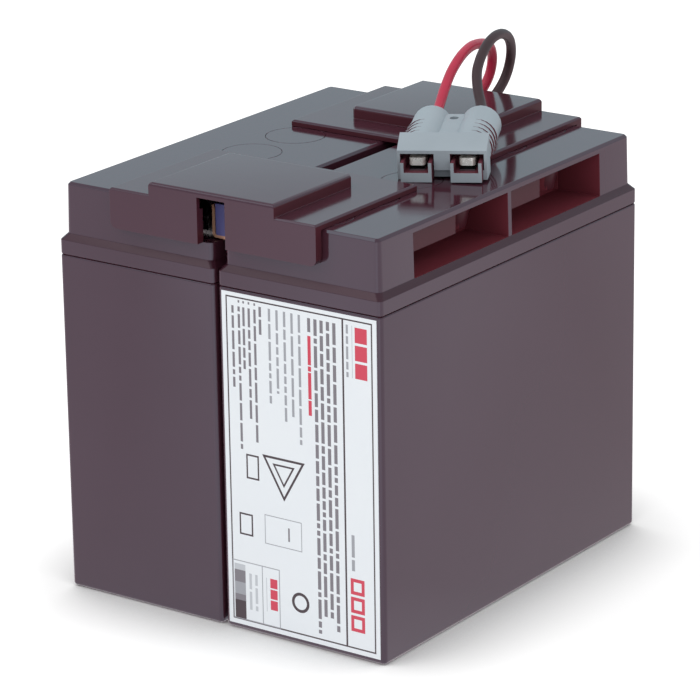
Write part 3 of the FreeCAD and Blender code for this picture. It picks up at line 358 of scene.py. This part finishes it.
def battery_case(side):
    """Case as a loft: loops of the rounded rectangle, inset and lifted as the profile says."""
    low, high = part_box("case_" + side)
    low, high = np.array(low), np.array(high)
    outside = np.vstack([arc(FOOT, low[2] + FOOT, FOOT, 270, 180), arc(RIM, high[2] - RIM, RIM, 180, 90)])
    inside = np.array([[WALL, high[2]], [WALL, low[2] + WALL]])
    profile = np.vstack([outside, inside])
    rings = []
    for inset, height in profile:
        loop = rounded_loop(low[:2] + inset, high[:2] - inset, max(CORNER - inset, INNER_CORNER))
        rings.append(np.column_stack([loop, np.full(len(loop), height)]))
    count = len(rings[0])
    faces = [list(f) for f in grid_faces(len(rings), count)]
    faces.append(list(range(count))[::-1])
    faces.append(list(range((len(rings) - 1) * count, len(rings) * count)))
    return dress(put_mesh("battery_case_" + side, np.vstack(rings), faces), battery_abs,
                 "battery_plastic", "case_" + side)


cases = [battery_case(side) for side in ("left", "right")]
print("cases:", [len(case.data.polygons) for case in cases], "faces each")

# %% [markdown]
# ## Lids, covers and connector from their CAD shapes
#
# The lids carry hand recesses with lips and bosses, and the covers a stepped block and a hanging
# apron. Those shapes are right in the CAD model, so they are copied and not drawn again. A packed
# node is loose triangles, so the copy's points are merged and its flat areas joined, and then a fine
# bevel catches the light on every edge that the mould left sharp.

# %% Finished copies
MERGE_DISTANCE = 1e-6
FLAT_DEG, SHARP_DEG = 0.5, 35


def finished_copy(node_name, name, bevel_mm, material, slot):
    """Copy of a CAD node with merged points, joined flat areas and a fine bevel on sharp edges."""
    mesh = nodes[node_name].data.copy()
    if "custom_normal" in mesh.attributes:
        mesh.attributes.remove(mesh.attributes["custom_normal"])
    shape = bmesh.new()
    shape.from_mesh(mesh)
    bmesh.ops.remove_doubles(shape, verts=shape.verts, dist=MERGE_DISTANCE)
    bmesh.ops.dissolve_limit(shape, angle_limit=math.radians(FLAT_DEG), verts=shape.verts, edges=shape.edges)
    shape.to_mesh(mesh)
    shape.free()
    mesh.shade_smooth()
    made = bpy.data.objects.new(name, mesh)
    bpy.context.scene.collection.objects.link(made)
    edge = made.modifiers.new("moulded edge", "BEVEL")
    edge.width = bevel_mm * MM
    edge.segments = 2
    edge.limit_method = "ANGLE"
    edge.angle_limit = math.radians(SHARP_DEG)
    edge.use_clamp_overlap = True
    edge.harden_normals = True
    return dress(made, material, slot, node_name)


lids = [finished_copy("lid_" + side, "battery_lid_" + side, 0.2, battery_abs, "battery_plastic")
        for side in ("left", "right")]
covers = [finished_copy("cover_" + end, "end_cover_" + end, 0.25, cover_abs, "cover_plastic")
          for end in ("front", "back")]
housing = finished_copy("connector_housing", "connector_body", 0.2, connector_pc, "connector_plastic")
print("faces of the copies:", [len(made.data.polygons) for made in (*lids, *covers, housing)])

# %% [markdown]
# ## Painted shade by place
#
# In the photo one moulding doesn't look the same all over: the hand recesses are redder and duller than
# the walls, and so are the shelf round the lid and the upright steps of the covers. That is light and
# shade, so each place gets painted shade: a copy of the finish whose colour and gloss stand in for the
# light it gets there. Why is a guess, so each place simply gets the look that it has there. It could be cut
# off as a piece of its own, but then its edges would have to meet the rest again. So its faces get another
# material, picked by a test on where a face lies and where it looks.

# %% Faces picked by place
def paint_shade_by_place(piece, material, test):
    """Painted shade: another material on the faces that pass a test on their centres, in mm, and normals."""
    mesh = piece.data
    centre, normal = np.empty((2, len(mesh.polygons) * 3))
    mesh.polygons.foreach_get("center", centre)
    mesh.polygons.foreach_get("normal", normal)
    paint = np.empty(len(mesh.polygons), np.int32)
    mesh.polygons.foreach_get("material_index", paint)
    chosen = test(centre.reshape(-1, 3) / MM, normal.reshape(-1, 3))
    mesh.materials.append(material)
    paint[chosen] = len(mesh.materials) - 1
    mesh.polygons.foreach_set("material_index", paint)
    print(piece.name, int(chosen.sum()), "faces get", material.name)


# %% [markdown]
# Each test runs on all the faces of a piece at once, so nothing is picked by hand. Most limits are
# taken without their sign, because the left battery is the right one turned half round.

# %% The places on lids and covers
def between(values, low, high):
    """Which values lie between two limits."""
    return (values > low) & (values < high)


# Limits of each place in millimetres, then the parts of a normal that count as sideways and as upward
RECESS_BACK, RECESS_FRONT, RECESS_END, RECESS_FLOOR, RECESS_TOP = 50.5, 73.2, 65.7, 146.4, 164.2
LIP_BACK, LIP_LOW = 62.0, 151.0
SHELF_LOW, SHELF_HIGH = 144.2, 146.5
APRON_FACE = 92.3
SIDEWAYS, UPWARD = 0.5, 0.3


def in_recess(at, facing):
    """Inside a hand recess, between its back wall and the lid's outer wall."""
    x, y, z = np.abs(at.T)
    return between(x, RECESS_BACK, RECESS_FRONT) & (y < RECESS_END) & between(z, RECESS_FLOOR, RECESS_TOP)


def on_lip(at, facing):
    """In a recess and on a lip's or a boss's outer face, which looks sideways."""
    outer = (np.abs(facing[:, 0]) > SIDEWAYS) & (np.abs(at[:, 0]) > LIP_BACK)
    return in_recess(at, facing) & outer & (at[:, 2] > LIP_LOW)


def on_shelf(at, facing):
    """On the sloping shelf between the lid's skirt and its wall, which looks partly up."""
    return between(at[:, 2], SHELF_LOW, SHELF_HIGH) & (facing[:, 2] > UPWARD)


def on_step(at, facing):
    """On an upright face of a cover, other than the apron's outer face."""
    return (np.abs(facing[:, 2]) < UPWARD) & (np.abs(at[:, 1]) < APRON_FACE)


# Painted shade on the lids' recesses, lips and shelves and on the upright steps of the covers
for lid in lids:
    paint_shade_by_place(lid, recess_painted_shade_abs, in_recess)
    paint_shade_by_place(lid, lip_and_step_painted_shade_abs, on_lip)
    paint_shade_by_place(lid, sloping_abs, on_shelf)
for cover in covers:
    paint_shade_by_place(cover, lip_and_step_painted_shade_abs, on_step)

# %% [markdown]
# The connector stands askew, so the faces inside its mouths are found in its own frame: a point of the
# room is moved back by the place of its lower front edge, then turned back by its lean about X and its
# turn about Z.

# %% The connector's own frame
PLUG_AT = np.array([50.7, -12.7, 167.393])
PLUG_LEAN, PLUG_TURN = math.radians(3.263), math.radians(26.0)
POLE, MOUTH_HALF, MOUTH_LOW, MOUTH_HIGH = 9.7, 6.55, 3.8, 10.3
MOUTH_FRONT, BARREL_END, BARREL_AXIS, BARREL_INSIDE = 3.7, 47.5, 7.95, 7.7
SLACK = 0.05


def plug_frame():
    """Columns are the connector's own axes: R = Rx(lean) Rz(turn)."""
    c, s = math.cos(PLUG_TURN), math.sin(PLUG_TURN)
    a, b = math.cos(PLUG_LEAN), math.sin(PLUG_LEAN)
    return np.array([[1, 0, 0], [0, a, -b], [0, b, a]]) @ np.array([[c, -s, 0], [s, c, 0], [0, 0, 1]])


def in_mouth(at, facing):
    """Inside one of the two mouths, or in the bore behind it."""
    x, y, z = ((at - PLUG_AT) @ plug_frame()).T
    beside = np.abs(np.abs(x) - POLE)
    return (between(y, MOUTH_FRONT, BARREL_END) & (beside < MOUTH_HALF + SLACK)
            & between(z, MOUTH_LOW - SLACK, MOUTH_HIGH + SLACK)
            & (np.hypot(beside, z - BARREL_AXIS) < BARREL_INSIDE))


# Painted shade and painted reflection of the lid inside the connector's mouths
paint_shade_by_place(housing, mouth_pc, in_mouth)

# %% [markdown]
# ## The valve discs
#
# Twelve round discs close the wells over the vent valves. They sit flush, so only a hair line shows
# round each. A cylinder would show nothing else, but a real disc has a faint dish from the mould and
# a broken edge. A profile turned round its axis gives both.

# %% Discs turned from a profile
DISC_RADIUS, DISC_THICKNESS, DISC_EDGE, DISH = 12.0, 1.2, 0.1, 0.008
CELLS = 6


def turned(profile, centres, count=64):
    """Closed bodies of revolution: every profile point (r, z) goes round as (r cos a, r sin a, z)."""
    angle = np.linspace(0, 2 * math.pi, count, endpoint=False)
    r, z = profile[1:-1, 0], profile[1:-1, 1]
    ring = np.stack([r[:, None] * np.cos(angle), r[:, None] * np.sin(angle),
                     np.broadcast_to(z[:, None], (len(r), count))], -1).reshape(-1, 3)
    poles = np.array([[0, 0, profile[0, 1]], [0, 0, profile[-1, 1]]])
    one = np.vstack([ring, poles])
    walls = grid_faces(len(r), count)
    step = np.arange(count)
    after = (step + 1) % count
    last = (len(r) - 1) * count
    caps = np.vstack([np.column_stack([step, after, np.full(count, len(ring))]),
                      np.column_stack([last + after, last + step, np.full(count, len(ring) + 1)])])
    points = (np.asarray(centres)[:, None, :] + one[None]).reshape(-1, 3)
    shift = np.arange(len(centres))[:, None, None] * len(one)
    return points, [*(walls[None] + shift).reshape(-1, 4), *(caps[None] + shift).reshape(-1, 3)]


def valve_discs(side):
    """Six discs in a row, at the pitch of the cells."""
    low, high = (np.array(v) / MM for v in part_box("valve_discs_" + side))
    rows = np.linspace(low[1] + DISC_RADIUS, high[1] - DISC_RADIUS, CELLS)
    centres = np.column_stack([np.full(CELLS, (low[0] + high[0]) / 2), rows, np.full(CELLS, high[2])])
    profile = np.array([[0, -DISC_THICKNESS], [DISC_RADIUS, -DISC_THICKNESS], [DISC_RADIUS, -DISC_EDGE],
                        [DISC_RADIUS - DISC_EDGE, 0], [DISC_RADIUS - 2 * DISC_EDGE, 0],
                        [DISC_RADIUS * 0.6, -DISH * 0.6], [DISC_RADIUS * 0.3, -DISH * 0.95], [0, -DISH]])
    points, faces = turned(profile, centres)
    return dress(put_mesh("valve_cover_discs_" + side, points * MM, faces), battery_abs,
                 "battery_plastic", "valve_discs_" + side)


discs = [valve_discs(side) for side in ("left", "right")]
print("discs:", len(discs) * CELLS)

# %% [markdown]
# ## The label
#
# A paper-white film label covers the front of the right battery. On the real one it is full of small
# print. This part carries no words and no marks, so the print becomes what it is to the eye from a
# metre away: bars of ink as long as words, red fields, a thin black frame and some plain shapes. An
# image texture could hold that, but here the sheet is a grid whose lines fall on the edge of every
# inked field, and each cell takes the ink of the last field laid over it, as a printing press does.

# %% Outlines and lines of words
WHITE, BLACK, DARK, GREY, PALE, RED = range(6)


def framed(left, low, right, high, stroke, ink):
    """Four bars that outline a rectangle."""
    return [(left, low, right, low + stroke, ink), (left, high - stroke, right, high, ink),
            (left, low, left + stroke, high, ink), (right - stroke, low, right, high, ink)]


def words(rng, across, stroke, top, bottom, ink, longest=9.0, gap=1.0):
    """A line that reads downwards: bars of random word length with gaps, all on a half-millimetre grid."""
    cuts = np.cumsum(rng.integers(4, int(longest * 2), 60) / 2 + gap)
    starts = top - np.concatenate([[0], cuts[:-1]])
    ends = np.maximum(top - cuts + gap, bottom)
    keep = starts - ends >= 1.0
    return [(across - stroke / 2, float(low), across + stroke / 2, float(high), ink)
            for low, high in zip(ends[keep], starts[keep])]


# %% [markdown]
# The lines of print read downwards, so they stand side by side as columns. Their places follow the
# photo, and the lengths of their words are random, from a fixed seed.

# %% What is printed where, in millimetres from the label's lower left corner
rng = np.random.default_rng(7)
fields = framed(1.9, 1.9, 69.3, 133.2, 0.6, BLACK)
fields.append((55.5, 2.2, 56.3, 133.0, BLACK))
# Five bold lines, the last one short with a red part
for across, bottom in ((52.0, 5.5), (49.1, 12.0), (46.2, 12.0), (43.4, 4.5)):
    fields += words(rng, across, 1.5, 130.5, bottom, DARK)
fields.append((39.8, 125.0, 41.2, 130.5, DARK))
fields += words(rng, 40.5, 1.5, 123.5, 92.0, RED, 12.0, 0.5)
# Five lighter lines and six small ones
for across, bottom in ((36.0, 79.5), (32.6, 89.0), (29.2, 87.5), (25.7, 98.0), (22.2, 93.5)):
    fields += words(rng, across, 1.1, 131.0, bottom, GREY)
fields += words(rng, 17.9, 1.2, 131.0, 119.5, DARK)
for across, bottom in ((15.4, 76.5), (12.7, 84.0), (10.2, 105.0), (8.0, 71.0)):
    fields += words(rng, across, 1.1, 129.5, bottom, DARK)
    fields.append((across - 0.4, 131.0, across + 0.4, 132.0, DARK))
fields += words(rng, 5.1, 1.1, 129.5, 97.0, DARK)
# The narrow right column: red blocks, hair lines and a light line
for high in (130.5, 123.5, 116.5):
    fields.append((61.4, high - 6.0, 66.9, high, RED))
fields.append((60.0, 110.5, 60.3, 131.0, PALE))
fields += words(rng, 57.9, 1.0, 131.0, 110.5, GREY, 7.0)
fields += words(rng, 59.3, 1.4, 48.0, 33.5, GREY, 16.0)
for high in (30.5, 23.0, 15.5):
    fields += framed(57.9, high - 6.5, 64.3, high, 1.4, RED)
# The small box in the lower left corner, with a strip that darkens downwards
fields += framed(2.2, 2.2, 24.6, 26.5, 0.4, GREY)
fields.append((16.1, 2.5, 16.5, 26.5, GREY))
fields += [(3.0, 25.0 - 2.5 * (n + 1), 8.2, 25.0 - 2.5 * n, ink)
           for n, ink in enumerate((PALE, DARK, DARK, GREY, GREY, DARK, BLACK, BLACK, BLACK))]
fields += words(rng, 10.6, 1.2, 22.0, 7.0, PALE, 8.0) + words(rng, 13.4, 1.2, 22.0, 7.0, PALE, 8.0)
for high in (22.0, 17.5, 13.0):
    fields.append((20.0, high - 3.9, 23.4, high, RED))
fields.append((18.1, 8.0, 18.4, 22.0, PALE))
# Plain outlined shapes
fields += framed(9.9, 61.0, 15.9, 71.0, 0.7, BLACK) + framed(6.0, 37.5, 12.4, 46.5, 0.7, BLACK)
fields += framed(18.0, 36.0, 35.5, 48.0, 0.35, GREY)
fields.append((29.0, 39.0, 29.8, 44.5, DARK))
print(len(fields), "inked fields")

# %% [markdown]
# ## Inks and film
#
# The film is a satin white vinyl with a faint blue cast. Screen-printed ink lies on it with the same
# satin, so all the inks share one recipe and differ in their colour alone.

# %% Six inks
INKS = [
    # name, two close shades
    ("vinyl_film_white", "#EDF3F8", "#F1F6FA"), ("ink_black", "#3A2E34", "#40343A"),
    ("ink_bold_print", "#7B777E", "#828087"), ("ink_light_print", "#9EA1A8", "#A6A9B0"),
    ("ink_pale_grey", "#C3C8CE", "#C9CED4"), ("ink_red", "#D23C54", "#D8465C"),
]
ink_materials = [finish(name, (first, second), (0.3, 0.36), 25, 0.4, 0.002, {"IOR": 1.48})
                 for name, first, second in INKS]
print(len(ink_materials), "inks, white film first")

# %% [markdown]
# ## The printed sheet
#
# The front of the film is one flat grid. Walls go back from its border and one face closes them behind,
# so the film is a closed sheet and not a picture that hangs before the case.

# %% Grid, border and back
def painted_sheet(inked, wide, high):
    """Points, faces and ink of each face for a flat grid that breaks at every field's edge."""
    table = np.array(inked)
    across = np.unique(np.round(np.concatenate([[0, wide], table[:, 0], table[:, 2]]), 2))
    upward = np.unique(np.round(np.concatenate([[0, high], table[:, 1], table[:, 3]]), 2))
    middle_u, middle_v = (across[1:] + across[:-1]) / 2, (upward[1:] + upward[:-1]) / 2
    ink = np.full((len(middle_v), len(middle_u)), WHITE)
    for left, low, right_edge, top, colour in inked:
        rows = (middle_v > low) & (middle_v < top)
        columns = (middle_u > left) & (middle_u < right_edge)
        ink[np.ix_(rows, columns)] = colour
    u, v = np.meshgrid(across, upward)
    return u, v, ink


def front_label():
    """The sheet's front grid, walls round its border and one back face: a closed film 0.2 mm thick."""
    low, high = (np.array(v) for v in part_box("front_label"))
    u, v, ink = painted_sheet(fields, (high[0] - low[0]) / MM, (high[2] - low[2]) / MM)
    rows, columns = u.shape
    index = np.arange(rows * columns).reshape(rows, columns)
    border = np.concatenate([index[0, :-1], index[:-1, -1], index[-1, :0:-1], index[:0:-1, 0]])
    front = np.column_stack([low[0] + u.ravel() * MM, np.full(u.size, low[1]), low[2] + v.ravel() * MM])
    behind = front[border] + [0, high[1] - low[1], 0]
    around = np.arange(len(border))
    walls = np.column_stack([border, np.roll(border, -1), u.size + np.roll(around, -1), u.size + around])
    faces = [*grid_faces(rows, columns, closed_columns=False), *walls, u.size + around[::-1]]
    sheet = put_mesh("printed_label", np.vstack([front, behind]), faces)
    dress(sheet, None, "label_film", "front_label")
    for material in ink_materials:
        sheet.data.materials.append(material)
    paint = np.concatenate([ink.ravel(), np.full(len(walls) + 1, WHITE)])
    sheet.data.polygons.foreach_set("material_index", paint.astype(np.int32))
    return sheet


label = front_label()
print("label faces:", len(label.data.polygons))

# %% [markdown]
# ## Round and three-cornered print
#
# A grid can't hold a ring, so the ring and the two hollow triangles are thin closed bands. Each begins
# a hundredth of a millimetre inside the film and stands three hundredths proud of it, like thick ink.

# %% Bands of ink
INK_INSIDE, INK_PROUD = 0.01, -0.03


def ink_band(name, centre, outer, inner, corners, turn_deg, ink):
    """A flat ring or polygon: a small rectangle section carried round a circle of few or many corners."""
    low, _ = (np.array(v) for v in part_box("front_label"))
    angle = np.linspace(0, 2 * math.pi, corners, endpoint=False) + math.radians(turn_deg)
    section = np.array([[outer, INK_INSIDE], [outer, INK_PROUD], [inner, INK_PROUD], [inner, INK_INSIDE]])
    around = section[:, :1] * np.stack([np.cos(angle), np.sin(angle)])[:, None, :]
    points = np.stack([centre[0] + around[0], np.broadcast_to(section[:, 1:], around[0].shape),
                       centre[1] + around[1]], -1) * MM + [low[0], low[1], low[2]]
    band = put_mesh(name, points, grid_faces(4, corners, closed_rows=True), 30)
    return dress(band, ink_materials[ink], "label_film")


bands = [ink_band("printed_ring", (34.3, 15.1), 4.1, 2.9, 48, 0, BLACK),
         ink_band("printed_triangle", (27.5, 66.5), 11.5, 9.7, 3, 30, BLACK),
         ink_band("printed_small_triangle", (27.5, 66.5), 6.0, 4.6, 3, 30, BLACK)]
print("bands of ink:", len(bands))

# %% [markdown]
# ## Finishes for the CAD nodes that stay
#
# The rest of the model is right as it is: the copper link, the bolts, the contacts and the plates
# inside. Each gets the finish of its real material on its own CAD mesh.

# %% Finish of each remaining node
FINISH_OF = {
    "valve_caps": valve_rubber, "plate_pack": cast_lead, "cell_welds": cast_lead,
    "terminal": tinned_terminal, "series_link": link_copper, "link_spacer": spacer_nylon,
    "link_bolt": bolt_zinc, "lead_bolt": bolt_zinc, "nuts": bolt_zinc, "washers": bolt_zinc,
    "foam_strip": closed_foam, "contact_spring": spring_steel, "contact": contact_silver,
    "lug": contact_silver,
}
for node_name, node in nodes.items():
    start = next((key for key in FINISH_OF if node_name.startswith(key)), None)
    if start and not node.hide_render:
        node.data.materials.clear()
        node.data.materials.append(FINISH_OF[start])
left_plain = [name for name, node in nodes.items() if not node.hide_render
              and not any(name.startswith(key) for key in FINISH_OF)]
print("nodes without a finish:", left_plain)

# %% [markdown]
# ## The leads
#
# The two leads stay the plain tubes drawn above.

print("leads: 2 tubes")

# %% [markdown]
# ## The floor
#
# A catalogue photo has a white sweep that vanishes behind the object, with a soft grey shadow where
# it stands. Pouring light on the floor until it clips would bleach the object too. So the lamps stay
# plain, and a weak glow that only the camera sees lifts the lit paper to white. Close to the batteries
# the glow fades out, which leaves the soft shadow round their feet.

# %% Paper as the camera sees it
FLOOR_SIZE, FLOOR_DROP = 3.0, 0.0003
FLOOR_SHADE, FLOOR_LIFT, LIFT_AT_FEET = 0.80, 0.45, 0.02
SHADOW_REACH = 0.045
# How open the air is: half of it at the foot of a wall, all of it on the free floor
OPEN_AT_FEET, OPEN_FLOOR = 0.5, 1.0
square = np.array([[-1, -1], [1, -1], [1, 1], [-1, 1]]) * FLOOR_SIZE
floor = put_mesh("floor", np.column_stack([square, np.full(4, -FLOOR_DROP)]), [(0, 1, 2, 3)])
paper = bpy.data.materials.new("matt_white_paper")
paper.use_nodes = True
tree = paper.node_tree
tree.nodes.clear()
rays = add(tree, "ShaderNodeLightPath")
seen = add(tree, "ShaderNodeMath", {0: rays.outputs["Is Camera Ray"], 1: rays.outputs["Is Transmission Ray"]},
           operation="MAXIMUM")
near = add(tree, "ShaderNodeAmbientOcclusion", {"Distance": SHADOW_REACH}, samples=8)
near = add(tree, "ShaderNodeMapRange", {0: near.outputs["AO"], 1: OPEN_AT_FEET, 2: OPEN_FLOOR,
                                        3: LIFT_AT_FEET, 4: FLOOR_LIFT})
lift = add(tree, "ShaderNodeMath", {0: seen.outputs[0], 1: near.outputs[0]}, operation="MULTIPLY")
sheen = add(tree, "ShaderNodeEmission", {"Color": (1, 1, 1, 1), "Strength": lift.outputs[0]})
matt = add(tree, "ShaderNodeBsdfDiffuse", {"Color": (FLOOR_SHADE, FLOOR_SHADE, FLOOR_SHADE, 1)})
both = add(tree, "ShaderNodeAddShader", {0: matt.outputs[0], 1: sheen.outputs[0]})
print("paper", 2 * FLOOR_SIZE, "m wide")

# %% [markdown]
# The tall glossy faces mirror the paper beside the object. In the photo they are brightest next to the
# front edge and fall off to both sides. What shines there in the studio isn't known, and lamps would
# light everything else too, so the paper gets its own strength in reflections, set by comparing the
# render with the photo. It is a product of three slopes over the floor: away from the front edge, out to
# the right, and from the labelled end to the side.

# %% Paper in reflections
FLOOR_IN_REFLECTIONS = (1.12, 1.02, 1.08, 1)
# Seen at 35.45 degrees, a mirrored ray runs 0.71 as far along X as along Y. So x - 0.71 y tells where on
# the object it came from. With the shift that is 0.076 at the front edge, -0.076 at the left end of the
# front and -0.052 at the back end of the side
VIEW_SLOPE, VIEW_SHIFT = -0.71, -0.064
HALF_FACE, AT_FAR_ENDS = 0.07, 0.72
SIDE_FACE, FAR_RIGHT, AT_SIDE, AT_FAR_RIGHT = 0.076, 0.37, 0.93, 1.08
BEFORE_LABEL, BESIDE_LABEL, AT_LABEL = -0.1165, 0.0835, 1.49
place = add(tree, "ShaderNodeTexCoord").outputs["Object"]
spot = add(tree, "ShaderNodeSeparateXYZ", {"Vector": place})
aside = add(tree, "ShaderNodeMath", {0: spot.outputs["Y"], 1: VIEW_SLOPE, 2: VIEW_SHIFT},
            operation="MULTIPLY_ADD")
aside = add(tree, "ShaderNodeMath", {0: aside.outputs[0], 1: spot.outputs["X"]}, operation="ADD")
fall = add(tree, "ShaderNodeMapRange", {0: aside.outputs[0], 1: -HALF_FACE, 2: HALF_FACE, 3: AT_FAR_ENDS,
                                        4: 1.0})
away = add(tree, "ShaderNodeMapRange", {0: spot.outputs["X"], 1: SIDE_FACE, 2: FAR_RIGHT, 3: AT_SIDE,
                                        4: AT_FAR_RIGHT})
across = add(tree, "ShaderNodeMath", {0: spot.outputs["X"], 1: spot.outputs["Y"]}, operation="ADD")
before = add(tree, "ShaderNodeMapRange", {0: across.outputs[0], 1: BEFORE_LABEL, 2: BESIDE_LABEL, 3: AT_LABEL,
                                          4: 1.0})
gain = add(tree, "ShaderNodeMath", {0: before.outputs[0], 1: fall.outputs[0]}, operation="MULTIPLY")
gain = add(tree, "ShaderNodeMath", {0: gain.outputs[0], 1: away.outputs[0]}, operation="MULTIPLY")
even = add(tree, "ShaderNodeEmission", {"Color": FLOOR_IN_REFLECTIONS, "Strength": gain.outputs[0]})
paper_look = add(tree, "ShaderNodeMixShader", {0: rays.outputs["Is Glossy Ray"], 1: both.outputs[0],
                                               2: even.outputs[0]})
add(tree, "ShaderNodeOutputMaterial", {"Surface": paper_look.outputs[0]})
floor.data.materials.append(paper)
print(len(tree.nodes), "nodes in the paper")

# %% [markdown]
# ## Backdrop and light
#
# The world is the white tent round the object. It lights the object a little below white, shows pure
# white to the camera, and a blue-grey to reflections, which gives the tops about the photo's tone. One
# large soft box adds a faint direction.

# %% World and lamp
AMBIENT = 0.95
IN_REFLECTIONS = (0.55, 0.72, 0.78, 1)
world = bpy.data.worlds.new("studio")
world.use_nodes = True
bpy.context.scene.world = world
tree = world.node_tree
tree.nodes.clear()
rays = add(tree, "ShaderNodeLightPath")
tent = add(tree, "ShaderNodeMix", {0: rays.outputs["Is Glossy Ray"], 6: (AMBIENT, AMBIENT, AMBIENT, 1),
                                   7: IN_REFLECTIONS}, data_type="RGBA")
seen = add(tree, "ShaderNodeMath", {0: rays.outputs["Is Camera Ray"], 1: rays.outputs["Is Transmission Ray"]},
           operation="MAXIMUM")
sweep = add(tree, "ShaderNodeMix", {0: seen.outputs[0], 6: tent.outputs[2], 7: (1, 1, 1, 1)},
            data_type="RGBA")
sky = add(tree, "ShaderNodeBackground", {"Color": sweep.outputs[2]})
add(tree, "ShaderNodeOutputWorld", {"Surface": sky.outputs[0]})


def soft_box(name, place, target, size, watts):
    """A square area lamp that looks at a point."""
    lamp = bpy.data.lights.new(name, "AREA")
    lamp.shape = "SQUARE"
    lamp.size = size
    lamp.energy = watts
    holder = bpy.data.objects.new(name, lamp)
    direction = Vector(target) - Vector(place)
    holder.matrix_world = Matrix.Translation(place) @ direction.to_track_quat("-Z", "Y").to_matrix().to_4x4()
    bpy.context.scene.collection.objects.link(holder)
    return holder


key = soft_box("key_soft_box", (-0.7, -0.9, 1.3), (0, 0, AIM_HEIGHT), 0.9, 3.0)
bpy.context.scene.view_settings.view_transform = "Standard"
print("one lamp of", key.data.energy, "W")
